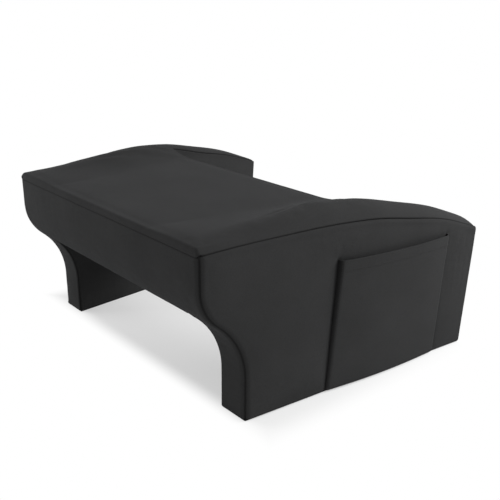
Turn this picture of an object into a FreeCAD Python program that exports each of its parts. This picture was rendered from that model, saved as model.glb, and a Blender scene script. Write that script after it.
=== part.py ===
import FreeCAD, Part
import math
import os
import Sketcher

# Lengths in millimetres, angles in degrees; the front is at -Y and the floor at z = 0.
SIZES = {
    "front_width": 640,
    "side_splay": 5.4,
    "side_thickness": 67,
    "overall_depth": 656,
    "rear_lean": 18,
    "tray_height": 325,
    "tray_depth": 376,
    "underside_height": 194,
    "leg_setback": 86,
    "edge_roll": 12,
    "crest_rise": 27,
    "crest_start": 1.5,
    "seam_drop": 3,
    "root_rise": 18,
    "root_drop": 11,
    "end_crest_drop": 64,
    "end_seam_drop": 77,
    "crown_rise": 9,
    "flank_reach": 70,
    "cover": 2,
    "fit_gap": 0.2,
    "cut_overrun": 6,
    "top_foam": 27,
    "tray_board_thickness": 12,
    "tray_board_edge": 25,
    "side_board_thickness": 9,
    "side_board_edge": 22,
    "bracket_leg": 38,
    "bracket_width": 30,
    "bracket_thickness": 2.5,
    "screw_shank": 3.5,
    "screw_head": 7.5,
    "screw_head_height": 2,
    "screw_bite": 7.5,
    "pocket_length": 288,
    "pocket_rear_gap": 88,
    "pocket_mouth_drop": 73,
    "pocket_lean": 23,
    "pocket_bulge_foot": 13,
    "pocket_bulge_mouth": 17,
    "pocket_lift": 4,
    "pocket_seam": 6,
    "zip_inset": 62,
    "zip_end_gap": 57,
    "tape_width": 12,
    "row_width": 3,
    "row_gap": 1.6,
    "stop_length": 3,
    "slider_length": 14,
    "slider_width": 10,
    "slider_plate": 1.5,
    "slider_gap": 0.3,
    "divider_length": 4,
    "divider_width": 1,
    "loop_length": 7.5,
    "loop_width": 2.2,
    "loop_bar": 1.5,
    "loop_room": 2,
    "pull_width": 8,
    "pull_length": 32,
    "pull_thickness": 1.4,
    "pull_window": 3.6,
    "pull_corner": 3,
}

# Shares of the sizes that these places follow.
LEG_STRAIGHT_SHARE = 0.234
SWAY_SHARE = 0.594
UPPER_SWEEP_SHARE = 0.42
CREST_SHARE = 0.78
FRONT_STATION_SHARE = 0.4
FRONT_RISE_SHARE = 0.56
FRONT_CROWN_SHARE = 0.5
TRAY_STATIONS = 4
ARM_STATION_SHARES = (0.3, 0.62)
ARM_DROP_SHARES = (0.22, 0.5)
BRACKET_SHARES = (0.4, 0.8)
SCREW_PLACE_SHARE = 0.65
SCREW_SPREAD_SHARE = 0.27

doc = FreeCAD.newDocument("LapTray")
sheet = doc.addObject("Spreadsheet::Sheet", "Sizes")
for row, (alias, number) in enumerate(SIZES.items(), 1):
    sheet.set(f"A{row}", alias)
    sheet.set(f"B{row}", str(number))
    sheet.setAlias(f"B{row}", alias)
doc.recompute()


class Size:
    """A number kept together with the sheet expression that it comes from."""

    def __init__(self, number, text):
        self.number = number
        self.text = text

    def __add__(self, other):
        other = sized(other)
        return Size(self.number + other.number, f"({self.text} + {other.text})")

    def __sub__(self, other):
        other = sized(other)
        return Size(self.number - other.number, f"({self.text} - {other.text})")

    def __mul__(self, other):
        other = sized(other)
        return Size(self.number * other.number, f"({self.text} * {other.text})")

    def __truediv__(self, other):
        other = sized(other)
        return Size(self.number / other.number, f"({self.text} / {other.text})")

    def __neg__(self):
        return Size(-self.number, f"(0 - {self.text})")


def sized(value):
    return value if isinstance(value, Size) else Size(value, str(value))


def tangent(angle):
    return Size(math.tan(math.radians(angle.number)), f"tan({angle.text} * 1 deg)")


def square_root(value):
    return Size(math.sqrt(value.number), f"sqrt({value.text})")


class Sheet:
    """Gives each cell of the sheet as a Size."""

    def __getattr__(self, alias):
        return Size(float(getattr(sheet, alias)), f"Sizes.{alias}")


at = Sheet()
zero = sized(0)
flare = tangent(at.side_splay)
half_depth = at.overall_depth / 2
overrun = at.cut_overrun
skin = at.cover + at.fit_gap
headroom = at.tray_height + at.crest_rise + at.crown_rise + overrun
front_seam = at.tray_height - at.edge_roll
board_top = at.tray_height - at.top_foam
board_bottom = board_top - at.tray_board_thickness
zip_depth = at.tray_depth - at.zip_inset
beyond_rear = at.overall_depth + overrun


def outer_x(depth):
    return at.front_width / 2 + flare * depth


def inner_x(depth):
    return outer_x(depth) - at.side_thickness


def from_middle(depth):
    return depth - half_depth


def arc_piece(start, end, centre, radius):
    """An arc under half a circle, and which of its ends lies at the start."""
    middle = FreeCAD.Vector(centre[0].number, centre[1].number, 0)
    first = math.atan2(start[1].number - middle.y, start[0].number - middle.x)
    last = math.atan2(end[1].number - middle.y, end[0].number - middle.x)
    circle = Part.Circle(middle, FreeCAD.Vector(0, 0, 1), radius.number)
    if (last - first) % (2 * math.pi) < math.pi:
        return Part.ArcOfCircle(circle, first, last), (1, 2)
    return Part.ArcOfCircle(circle, last, first), (2, 1)


def draw(sketch, corners, arcs):
    """Closes the corners with lines, or with arcs given as {segment: (centre, radius)}."""
    ends = []
    for index, start in enumerate(corners):
        end = corners[(index + 1) % len(corners)]
        if index in arcs:
            centre, radius = arcs[index]
            piece, order = arc_piece(start, end, centre, radius)
        else:
            first = FreeCAD.Vector(start[0].number, start[1].number, 0)
            last = FreeCAD.Vector(end[0].number, end[1].number, 0)
            piece, order = Part.LineSegment(first, last), (1, 2)
        ends.append((sketch.addGeometry(piece, False), order))
    for index, (place_u, place_v) in enumerate(corners):
        piece, order = ends[index]
        last_piece, last_order = ends[index - 1]
        sketch.addConstraint(Sketcher.Constraint("Coincident", last_piece, last_order[1], piece, order[0]))
        bind(sketch, "DistanceX", (-1, 1, piece, order[0]), place_u)
        bind(sketch, "DistanceY", (-1, 1, piece, order[0]), place_v)
    for index, (centre, radius) in arcs.items():
        bind(sketch, "Radius", (ends[index][0],), radius)


def bind(sketch, kind, elements, value):
    place = sketch.addConstraint(Sketcher.Constraint(kind, *elements, value.number))
    sketch.setExpression(f"Constraints[{place}]", value.text)


def new_sketch(body, plane, offset, corners, arcs):
    sketch = body.newObject("Sketcher::SketchObject", "outline")
    support = [feature for feature in body.Origin.OriginFeatures if feature.Role == plane][0]
    sketch.AttachmentSupport = (support, [""])
    sketch.MapMode = "FlatFace"
    sketch.setExpression("AttachmentOffset.Base.z", offset.text)
    draw(sketch, corners, arcs)
    return sketch


def new_body(label):
    return doc.addObject("PartDesign::Body", label)


def pad(body, plane, offset, length, corners, arcs):
    sketch = new_sketch(body, plane, offset, corners, arcs)
    feature = body.newObject("PartDesign::Pad", "pad")
    feature.Profile = sketch
    feature.setExpression("Length", length.text)
    return feature


def pocket(body, plane, offset, length, corners, arcs):
    sketch = new_sketch(body, plane, offset, corners, arcs)
    feature = body.newObject("PartDesign::Pocket", "pocket")
    feature.Profile = sketch
    feature.Reversed = True
    feature.setExpression("Length", length.text)
    return feature


def loft(body, kind, sketches):
    feature = body.newObject(kind, "loft")
    feature.Profile = sketches[0]
    feature.Sections = sketches[1:]
    return feature


def common(label, *shapes):
    feature = doc.addObject("Part::MultiCommon", label)
    feature.Behavior = "CommonOfAllShapes"
    feature.Shapes = list(shapes)
    return feature


def cut(label, base, *tools):
    for tool in tools:
        feature = doc.addObject("Part::Cut", label)
        feature.Base = base
        feature.Tool = tool
        base = feature
    return base


def fuse(label, *shapes):
    feature = doc.addObject("Part::MultiFuse", label)
    feature.Shapes = list(shapes)
    return feature


def mirrored(label, source):
    feature = doc.addObject("Part::Mirroring", label)
    feature.Source = source
    feature.Normal = FreeCAD.Vector(1, 0, 0)
    return feature


def block(label, x_span, depth_span, z_span):
    """A box between two places on each axis; depths count from the front."""
    feature = doc.addObject("Part::Box", label)
    spans = (x_span, (from_middle(depth_span[0]), from_middle(depth_span[1])), z_span)
    for axis, edge, (low, high) in zip("xyz", ("Length", "Width", "Height"), spans):
        feature.setExpression(f"Placement.Base.{axis}", low.text)
        feature.setExpression(edge, (high - low).text)
    return feature


def across(label, depth_span, z_span):
    """A box that is wider than the whole tray."""
    reach = outer_x(beyond_rear)
    return block(label, (-reach, reach), depth_span, z_span)


def side_band(label, near, far, z_span):
    """The splayed upright slice of the right side between two depths under its outer face."""
    ends = (-overrun, beyond_rear)
    corners = [
        (outer_x(ends[0]) - far, from_middle(ends[0])),
        (outer_x(ends[0]) - near, from_middle(ends[0])),
        (outer_x(ends[1]) - near, from_middle(ends[1])),
        (outer_x(ends[1]) - far, from_middle(ends[1])),
    ]
    body = new_body(label)
    pad(body, "XY_Plane", z_span[0], z_span[1] - z_span[0], corners, {})
    return body


def middle_span(label, inset, depth_span, z_span):
    """The splayed space between two planes that lie one inset under the outer faces."""
    near, far = depth_span
    corners = [
        (-(outer_x(near) - inset), from_middle(near)),
        (outer_x(near) - inset, from_middle(near)),
        (outer_x(far) - inset, from_middle(far)),
        (-(outer_x(far) - inset), from_middle(far)),
    ]
    body = new_body(label)
    pad(body, "XY_Plane", z_span[0], z_span[1] - z_span[0], corners, {})
    return body


def side_profile(label, front, rear):
    """The side view: leg, swayed front and rolled top edge, set in at the front and at the rear."""
    sway = at.tray_height * SWAY_SHARE
    leg_straight = at.tray_height * LEG_STRAIGHT_SHARE
    sweeps = (sway * sway + at.leg_setback * at.leg_setback) / (at.leg_setback * 2)
    upper = sweeps * UPPER_SWEEP_SHARE
    lower = sweeps - upper
    lean = sized(1) - at.leg_setback / sweeps
    climb = square_root(sized(1) - lean * lean)
    lower_centre = (from_middle(at.leg_setback - lower), leg_straight)
    upper_centre = (from_middle(upper), leg_straight + sway)
    roll_centre = (from_middle(at.edge_roll), front_seam)
    turn = (lower_centre[0] + (lower + front) * lean, lower_centre[1] + (lower + front) * climb)
    arm_end = at.tray_height - at.end_crest_drop
    tilt = at.rear_lean / arm_end
    rear_foot = at.overall_depth - at.rear_lean - rear
    corners = [
        (from_middle(at.leg_setback + front), -overrun),
        (from_middle(at.leg_setback + front), leg_straight),
        turn,
        (from_middle(front), upper_centre[1]),
        (from_middle(front), front_seam),
        (roll_centre[0], at.tray_height - front),
        (roll_centre[0], headroom),
        (from_middle(rear_foot + tilt * headroom), headroom),
        (from_middle(rear_foot - tilt * overrun), -overrun),
    ]
    arcs = {
        1: (lower_centre, lower + front),
        2: (upper_centre, upper - front),
        4: (roll_centre, at.edge_roll - front),
    }
    body = new_body(label)
    reach = outer_x(beyond_rear)
    pad(body, "YZ_Plane", -reach, reach * 2, corners, arcs)
    return body


def arm_stations():
    """Depth, outer seam height, inner crest height and crown of each section of the right side."""
    seam = at.tray_height - at.seam_drop
    crest_depth = at.tray_depth * CREST_SHARE
    root = (at.tray_height - at.root_drop, at.tray_height + at.root_rise)
    fall = (at.end_seam_drop - at.root_drop, at.end_crest_drop + at.root_rise)
    stations = [
        (-overrun, front_seam, at.tray_height + at.crest_start, at.crown_rise * FRONT_CROWN_SHARE),
        (at.tray_depth * FRONT_STATION_SHARE, seam, at.tray_height + at.crest_rise * FRONT_RISE_SHARE,
         at.crown_rise),
        (crest_depth, seam, at.tray_height + at.crest_rise, at.crown_rise),
        (at.tray_depth, root[0], root[1], at.crown_rise),
    ]
    for place, drop in zip(ARM_STATION_SHARES, ARM_DROP_SHARES):
        depth = at.tray_depth + (at.overall_depth - at.tray_depth) * place
        stations.append((depth, root[0] - fall[0] * drop, root[1] - fall[1] * drop, at.crown_rise))
    stations.append((beyond_rear, root[0] - fall[0], root[1] - fall[1], at.crown_rise))
    return stations


def crown_arc(seam, crest, rise):
    """Centre and radius of the arc over a seam and a crest that stands one rise above their chord."""
    run = (seam[0] - crest[0], crest[1] - seam[1])
    chord = square_root(run[0] * run[0] + run[1] * run[1])
    radius = (chord * chord / 4 + rise * rise) / (rise * 2)
    down = (radius - rise) / chord
    middle = ((seam[0] + crest[0]) / 2, (seam[1] + crest[1]) / 2)
    return (middle[0] - run[1] * down, middle[1] - run[0] * down), radius


def arm_crown(label, inset):
    """Everything under the crowned top of the right side, one inset below the outside."""
    body = new_body(label)
    sketches = []
    for depth, seam_z, crest_z, rise in arm_stations():
        seam = (outer_x(depth), seam_z - inset)
        crest = (inner_x(depth), crest_z - inset)
        corners = [
            (crest[0] - overrun, -overrun),
            (seam[0] + overrun, -overrun),
            (seam[0] + overrun, seam[1] - overrun),
            seam,
            crest,
            (crest[0] - overrun, crest[1]),
        ]
        arcs = {3: crown_arc(seam, crest, rise)}
        sketches.append(new_sketch(body, "XZ_Plane", -from_middle(depth), corners, arcs))
    loft(body, "PartDesign::AdditiveLoft", sketches)
    return body


def tray_crown(label, inset):
    """Everything under the tray top, which sweeps up into the sides, one inset below the outside."""
    body = new_body(label)
    sketches = []
    level = at.tray_height - inset
    for depth, seam_z, crest_z, rise in arm_stations()[:TRAY_STATIONS]:
        depth = depth + overrun if depth.number == at.tray_depth.number else depth
        crest = (inner_x(depth), crest_z - inset)
        foot = crest[0] - at.flank_reach
        lift = crest[1] - level
        radius = (at.flank_reach * at.flank_reach + lift * lift) / (lift * 2)
        corners = [
            (-(crest[0] + overrun), -overrun),
            (crest[0] + overrun, -overrun),
            (crest[0] + overrun, crest[1]),
            crest,
            (foot, level),
            (-foot, level),
            (-crest[0], crest[1]),
            (-(crest[0] + overrun), crest[1]),
        ]
        arcs = {3: ((foot, level + radius), radius), 5: ((-foot, level + radius), radius)}
        sketches.append(new_sketch(body, "XZ_Plane", -from_middle(depth), corners, arcs))
    loft(body, "PartDesign::AdditiveLoft", sketches)
    return body


def turned_body(label, x_place, depth, z_place):
    """A body whose own Y axis runs along the splayed right side."""
    body = new_body(label)
    turn_to_side(body, x_place, depth, z_place)
    return body


def turn_to_side(feature, x_place, depth, z_place):
    feature.Placement.Rotation = FreeCAD.Rotation(FreeCAD.Vector(0, 0, -1), at.side_splay.number)
    feature.setExpression("Placement.Rotation.Angle", f"{at.side_splay.text} * 1 deg")
    feature.setExpression("Placement.Base.x", x_place.text)
    feature.setExpression("Placement.Base.y", from_middle(depth).text)
    feature.setExpression("Placement.Base.z", z_place.text)


def rectangle(low_u, high_u, low_v, high_v):
    return [(low_u, low_v), (high_u, low_v), (high_u, high_v), (low_u, high_v)]


def tray_board():
    """The board that spans from one side board to the other, drilled for the bracket screws."""
    depths = (at.tray_board_edge, at.tray_depth - at.tray_board_edge)
    inset = (at.side_thickness + at.side_board_thickness) / 2
    return middle_span("tray_board_blank", inset, depths, (board_bottom, board_top))


def side_board():
    """The upright board in the right side, cut lower towards the end of the arm."""
    front = from_middle(at.leg_setback + at.side_board_edge)
    rear = from_middle(at.overall_depth - at.rear_lean - at.side_board_edge)
    arm_end = at.tray_height - at.end_seam_drop - at.side_board_edge
    corners = [
        (front, at.side_board_edge),
        (front, board_top),
        (from_middle(at.tray_depth), board_top),
        (rear, arm_end),
        (rear, at.side_board_edge),
    ]
    body = new_body("side_board_outline")
    pad(body, "YZ_Plane", zero, outer_x(beyond_rear), corners, {})
    near = (at.side_thickness - at.side_board_thickness) / 2
    band = side_band("side_board_band", near, near + at.side_board_thickness, (zero, headroom))
    return common("side_board_blank", body, band)


def bracket_place(share):
    """Where a bracket's corner sits: on the inner face of the side board, under the tray board."""
    depth = at.tray_depth * share
    return outer_x(depth) - (at.side_thickness + at.side_board_thickness) / 2, depth, board_bottom


def bracket(label, share):
    body = turned_body(label, *bracket_place(share))
    leg = at.bracket_leg
    thick = at.bracket_thickness
    corners = [(zero, zero), (zero, -leg), (-thick, -leg), (-thick, -thick), (-leg, -thick), (-leg, zero)]
    pad(body, "XZ_Plane", -(at.bracket_width / 2), at.bracket_width, corners, {})
    return body


def bracket_room(label, share):
    """The hollow that the foam leaves round a bracket and its screw heads."""
    body = turned_body(label, *bracket_place(share))
    reach = at.bracket_leg + at.fit_gap
    width = at.bracket_width + at.fit_gap * 2
    pad(body, "XZ_Plane", -(width / 2), width, rectangle(-reach, overrun, -reach, zero), {})
    return body


def screw_shape():
    """One screw that points up, its head under z = 0."""
    shank = Part.makeCylinder(at.screw_shank.number / 2, at.screw_bite.number + at.bracket_thickness.number)
    head = Part.makeCylinder(at.screw_head.number / 2, at.screw_head_height.number)
    head.translate(FreeCAD.Vector(0, 0, -at.screw_head_height.number))
    return shank.fuse(head).removeSplitter()


def bracket_screws():
    """Two screws up into the tray board and two out into the side board from every bracket."""
    place = at.bracket_leg.number * SCREW_PLACE_SHARE
    spread = at.bracket_width.number * SCREW_SPREAD_SHARE
    thick = at.bracket_thickness.number
    upward = FreeCAD.Rotation()
    sideways = FreeCAD.Rotation(FreeCAD.Vector(0, 1, 0), 90)
    solids = []
    for share in BRACKET_SHARES:
        x_place, depth, z_place = bracket_place(share)
        base = FreeCAD.Vector(x_place.number, from_middle(depth).number, z_place.number)
        turn = FreeCAD.Rotation(FreeCAD.Vector(0, 0, -1), at.side_splay.number)
        for side in (-spread, spread):
            for spot, aim in (((-place, side, -thick), upward), ((-thick, side, -place), sideways)):
                solid = screw_shape()
                local = FreeCAD.Placement(FreeCAD.Vector(*spot), aim)
                solid.Placement = FreeCAD.Placement(base, turn).multiply(local)
                solids.append(solid)
                solids.append(solid.mirror(FreeCAD.Vector(0, 0, 0), FreeCAD.Vector(1, 0, 0)))
    feature = doc.addObject("Part::Feature", "bracket_screws")
    feature.Shape = Part.makeCompound(solids)
    return feature


def bow(body, z_place, shift, edge, foot, bulge, back):
    """One level section of the pocket: a chord along the side and an arc that stands off it."""
    end = at.overall_depth - at.rear_lean - at.pocket_rear_gap + shift - edge
    span = at.pocket_length - edge * 2
    start = end - span
    radius = (span * span / 4 + bulge * bulge) / (bulge * 2)
    centre = (foot + bulge - radius, (start + end) / 2)
    corners = [(-back, start), (foot, start), (foot, end), (-back, end)]
    return new_sketch(body, "XY_Plane", z_place, corners, {1: (centre, radius)})


def side_pocket():
    """The patch pocket on the right side: sewn down at both ends and closed underneath."""
    body = turned_body("side_pocket", outer_x(zero), zero, zero)
    mouth = at.tray_height - at.pocket_mouth_drop
    lean = at.pocket_lean
    floor = at.pocket_lift + at.cover
    above = overrun / (mouth - floor) + sized(1)
    outside = [
        bow(body, at.pocket_lift, zero, zero, at.cover, at.pocket_bulge_foot, zero),
        bow(body, mouth, lean, zero, at.cover, at.pocket_bulge_mouth, zero),
    ]
    loft(body, "PartDesign::AdditiveLoft", outside)
    doc.recompute()
    inside = [
        bow(body, floor, zero, at.pocket_seam, zero, at.pocket_bulge_foot, overrun),
        bow(body, floor + (mouth - floor) * above, lean * above, at.pocket_seam, zero,
            at.pocket_bulge_foot + (at.pocket_bulge_mouth - at.pocket_bulge_foot) * above, overrun),
    ]
    loft(body, "PartDesign::SubtractiveLoft", inside)
    return body


def zip_half():
    return inner_x(zip_depth) - at.zip_end_gap


def zip_strip(label, reach, near, far, z_span):
    """A flat strip along the zip between two distances behind its middle line."""
    return block(label, (-reach, reach), (zip_depth + near, zip_depth + far), z_span)


def zip_tapes():
    edge = at.row_gap / 2 + at.row_width
    span = (at.underside_height, at.underside_height + at.cover)
    front = zip_strip("zip_tape_front", zip_half(), -(edge + at.tape_width), -edge, span)
    rear = zip_strip("zip_tape_rear", zip_half(), edge, edge + at.tape_width, span)
    return front, rear


def zip_rows():
    span = (at.underside_height, at.underside_height + at.cover)
    edge = at.row_gap / 2
    reach = zip_half() - at.stop_length
    front = zip_strip("zip_row_front", reach, -(edge + at.row_width), -edge, span)
    rear = zip_strip("zip_row_rear", reach, edge, edge + at.row_width, span)
    return front, rear


def zip_stops():
    """The two clamps that end the rows."""
    span = (at.underside_height, at.underside_height + at.cover)
    edge = at.row_gap / 2 + at.row_width
    depths = (zip_depth - edge, zip_depth + edge)
    inner = zip_half() - at.stop_length
    right = block("zip_stop_right", (inner, zip_half()), depths, span)
    left = block("zip_stop_left", (-zip_half(), -inner), depths, span)
    return fuse("zip_stops", right, left)


def slider_span():
    """The slider rests at the right end of the rows."""
    end = zip_half() - at.stop_length - at.fit_gap
    return end - at.slider_length, end


def zip_slider():
    """Two plates joined by a divider between the rows, with the loop for the pull underneath."""
    start, end = slider_span()
    middle = (start + end) / 2
    low = at.underside_height - at.slider_gap
    high = at.underside_height + at.cover + at.slider_gap
    half = at.slider_width / 2
    depths = (zip_depth - half, zip_depth + half)
    under = block("slider_under", (start, end), depths, (low - at.slider_plate, low))
    over = block("slider_over", (start, end), depths, (high, high + at.slider_plate))
    thin = at.divider_width / 2
    divider = block("slider_divider", (middle - at.divider_length / 2, middle + at.divider_length / 2),
                    (zip_depth - thin, zip_depth + thin), (low, high))
    drop = low - at.slider_plate - at.loop_room - at.loop_bar
    reach = at.loop_length / 2
    side = at.loop_width / 2
    outside = block("slider_loop", (middle - reach, middle + reach), (zip_depth - side, zip_depth + side),
                    (drop, low - at.slider_plate))
    inside = block("slider_eye", (middle - reach + at.loop_bar, middle + reach - at.loop_bar),
                   (zip_depth - at.slider_width, zip_depth + at.slider_width),
                   (drop + at.loop_bar, low - at.slider_plate))
    return fuse("zip_slider", under, over, divider, cut("slider_bail", outside, inside))


def pull_axis():
    start, end = slider_span()
    drop = at.underside_height - at.slider_gap - at.slider_plate - at.loop_room / 2
    return (start + end) / 2, drop


def zip_pull():
    """The pull hangs from its round top bar, which lies in the loop of the slider."""
    x_place, z_place = pull_axis()
    bar = at.pull_thickness / 2
    wide = at.pull_width / 2
    corner = at.pull_corner
    foot = z_place - at.pull_length
    middle = from_middle(zip_depth)
    body = new_body("pull_plate")
    corners = [
        (middle - wide, z_place),
        (middle - wide, foot + corner),
        (middle - wide + corner, foot),
        (middle + wide - corner, foot),
        (middle + wide, foot + corner),
        (middle + wide, z_place),
    ]
    arcs = {
        1: ((middle - wide + corner, foot + corner), corner),
        3: ((middle + wide - corner, foot + corner), corner),
    }
    pad(body, "YZ_Plane", x_place - bar, at.pull_thickness, corners, arcs)
    doc.recompute()
    window = at.pull_window / 2
    reach = at.loop_length / 2 + at.loop_bar
    hole = rectangle(middle - window, middle + window, z_place - bar - reach, z_place - bar)
    pocket(body, "YZ_Plane", x_place - at.pull_thickness, at.pull_thickness * 2, hole, {})
    rod = doc.addObject("Part::Cylinder", "pull_rod")
    rod.Placement.Rotation = FreeCAD.Rotation(FreeCAD.Vector(1, 0, 0), -90)
    rod.setExpression("Radius", bar.text)
    rod.setExpression("Height", at.pull_width.text)
    for axis, place in zip("xyz", (x_place, middle - wide, z_place)):
        rod.setExpression(f"Placement.Base.{axis}", place.text)
    return fuse("zip_pull", body, rod)


def inner_frame():
    """Boards, brackets and screws, with the undrilled boards; the left side mirrors the right one."""
    screws = bracket_screws()
    blanks = {"tray": tray_board(), "side": side_board()}
    right = cut("side_board_right", blanks["side"], screws)
    brackets = []
    for index, share in enumerate(BRACKET_SHARES):
        brackets.append(cut("bracket_drilled", bracket(f"bracket_blank_{index}", share), screws))
    group = fuse("angle_brackets_right", *brackets)
    pieces = {
        "tray_board": cut("tray_board", blanks["tray"], screws),
        "side_board_right": right,
        "side_board_left": mirrored("side_board_left", right),
        "angle_brackets_right": group,
        "angle_brackets_left": mirrored("angle_brackets_left", group),
        "bracket_screws": screws,
    }
    return pieces, blanks


def foam(blanks):
    """The foam blocks: two layers round each side board, a top pad and a block under the tray board."""
    rooms = [bracket_room(f"bracket_room_{index}", share) for index, share in enumerate(BRACKET_SHARES)]
    rooms_right = fuse("bracket_rooms_right", *rooms)
    rooms_left = mirrored("bracket_rooms_left", rooms_right)
    profile = side_profile("foam_profile", skin, skin)
    crown = arm_crown("foam_arm_crown", skin)
    board_face = (at.side_thickness + at.side_board_thickness) / 2
    heights = (at.cover, headroom)
    outer = common("outer_layer", side_band("outer_band", skin, board_face, heights), profile, crown)
    outer = cut("side_foam_outer_right", outer, blanks["side"])
    inner_band = side_band("inner_band", board_face, at.side_thickness - skin, heights)
    inner = common("inner_layer", inner_band, profile, crown)
    inner = cut("side_foam_inner_right", inner, blanks["tray"], rooms_right)
    depths = (-overrun, at.tray_depth - skin)
    inset = at.side_thickness - at.cover
    top_span = middle_span("top_span", at.side_thickness, depths, (board_bottom, headroom))
    top = common("top_pad", top_span, profile, tray_crown("foam_tray_crown", skin))
    top = cut("tray_foam", top, blanks["tray"])
    low = at.underside_height + skin
    under = common("under_block", middle_span("under_span", inset, depths, (low, board_bottom)), profile)
    room = at.slider_width / 2 + at.slider_gap
    depth = at.slider_plate + at.slider_gap * 2
    groove = zip_strip("zip_groove", zip_half(), -room, room, (at.underside_height, low + depth))
    under = cut("bridge_foam", under, rooms_right, rooms_left, groove)
    return {
        "side_foam_outer_right": outer,
        "side_foam_outer_left": mirrored("side_foam_outer_left", outer),
        "side_foam_inner_right": inner,
        "side_foam_inner_left": mirrored("side_foam_inner_left", inner),
        "tray_foam": top,
        "bridge_foam": under,
    }


def side_covers():
    """The cloth panels of the right side; each is one cover thick."""
    profile = side_profile("panel_profile", at.cover, at.cover)
    outside = side_profile("outside_profile", zero, zero)
    crown = arm_crown("panel_arm_crown", at.cover)
    heights = (at.cover, headroom)
    thick = at.side_thickness
    outer = common("cover_side_right", side_band("side_panel_band", zero, at.cover, heights), profile, crown)
    inner_band = side_band("inner_panel_band", thick - at.cover, thick, heights)
    tray_zone = across("tray_zone", (-overrun, at.tray_depth), (at.underside_height, headroom + overrun))
    inner = common("inner_panel", inner_band, profile, crown)
    inner = cut("cover_inner_right", inner, tray_zone)
    ahead = side_profile("ahead_of_end", -overrun / 2, at.cover)
    full = side_band("full_band", zero, thick, heights)
    end = cut("cover_arm_end_right", common("arm_end", full, outside, crown), ahead)
    base = common("cover_base_right", side_band("base_band", zero, thick, (zero, at.cover)), outside)
    panels = {"cover_side": outer, "cover_inner": inner, "cover_arm_end": end, "cover_base": base}
    covers = {}
    for label, panel in panels.items():
        covers[f"{label}_right"] = panel
        covers[f"{label}_left"] = mirrored(f"{label}_left", panel)
    return covers


def tray_top(outside, behind):
    """The top panel between the sides: its two flanks, and its flat middle with true plane faces."""
    depths = (-overrun, at.tray_depth)
    heights = (front_seam, headroom)
    whole = middle_span("tray_span", at.side_thickness, depths, heights)
    middle = middle_span("tray_middle", at.side_thickness + at.flank_reach, depths, heights)
    beyond = (-overrun, at.tray_depth + overrun)
    flat = across("tray_flat", beyond, (-overrun, at.tray_height))
    flat_under = across("tray_flat_under", beyond, (-overrun, at.tray_height - at.cover))
    flanks = common("tray_flanks", cut("flank_span", whole, middle), outside, tray_crown("tray_outside", zero))
    core = common("flank_core", behind, tray_crown("tray_under", at.cover))
    level = common("tray_level", middle, outside, flat)
    return cut("flank_sheet", flanks, core), cut("level_sheet", level, common("level_core", behind, flat_under))


def middle_covers():
    """The cloth panels that cross the tray: top, front, underside and rear edge."""
    outside = side_profile("whole_profile", zero, zero)
    behind = side_profile("behind_front", at.cover, -overrun)
    heights = (at.cover, headroom)
    thick = at.side_thickness
    arm = common("arm_top", side_band("arm_top_band", zero, thick, heights), outside,
                 arm_crown("arm_outside", zero))
    arm = cut("arm_sheet", arm, common("arm_core", behind, arm_crown("arm_under", at.cover)))
    arm = cut("arm_panel", arm, across("front_foot", (-overrun, at.tray_depth), (-overrun, front_seam)))
    tray = tray_top(outside, behind)
    top = fuse("cover_top", arm, mirrored("arm_panel_left", arm), *tray)
    whole = middle_span("front_span", zero, (-overrun, at.leg_setback + overrun), (at.cover, front_seam))
    arch = middle_span("arch", thick, (-overrun, beyond_rear), (-overrun, at.underside_height))
    front = cut("cover_front", common("front_strip", whole, outside), behind, arch)
    depths = (-overrun, at.tray_depth - at.cover)
    flat = (at.underside_height, at.underside_height + at.cover)
    tape = at.row_gap / 2 + at.row_width + at.tape_width
    slot = zip_strip("zip_slot", zip_half(), -tape, tape, (-overrun, headroom))
    under = common("under_sheet", middle_span("under_panel_span", thick, depths, flat), behind)
    under = cut("cover_under", under, slot)
    edge = (at.tray_depth - at.cover, at.tray_depth)
    edge_span = middle_span("rear_panel_span", thick, edge, (at.underside_height, headroom))
    rear = common("cover_rear", edge_span, tray_crown("rear_crown", at.cover))
    return {"cover_top": top, "cover_front": front, "cover_under": under, "cover_rear": rear}


def zip_fastener():
    tape_front, tape_rear = zip_tapes()
    row_front, row_rear = zip_rows()
    return {
        "zip_tape_front": tape_front,
        "zip_tape_rear": tape_rear,
        "zip_row_front": row_front,
        "zip_row_rear": row_rear,
        "zip_stops": zip_stops(),
        "zip_slider": zip_slider(),
        "zip_pull": zip_pull(),
    }


def write_parts(nodes):
    """Checks every object of the document, then writes one STEP file for each sub-part."""
    doc.recompute()
    for feature in doc.Objects:
        if "Invalid" in feature.State or "Error" in feature.State:
            raise RuntimeError(f"{feature.Label} did not build: {feature.State}")
    os.makedirs("parts", exist_ok=True)
    for label, feature in nodes.items():
        feature.Label = label
        shape = feature.Shape
        if shape.isNull() or not shape.isValid() or not shape.Solids:
            raise RuntimeError(f"{label} has no valid solid")
        shape.exportStep(f"parts/{label}.step")
        print(label, len(shape.Solids), round(shape.Volume / 1000, 1))


nodes, blanks = inner_frame()
nodes.update(foam(blanks))
nodes.update(side_covers())
nodes.update(middle_covers())
nodes["side_pocket"] = side_pocket()
nodes.update(zip_fastener())
write_parts(nodes)
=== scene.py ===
import math

import bmesh
import bpy
import numpy as np
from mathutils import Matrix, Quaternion, Vector, noise
from mathutils.kdtree import KDTree


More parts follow.
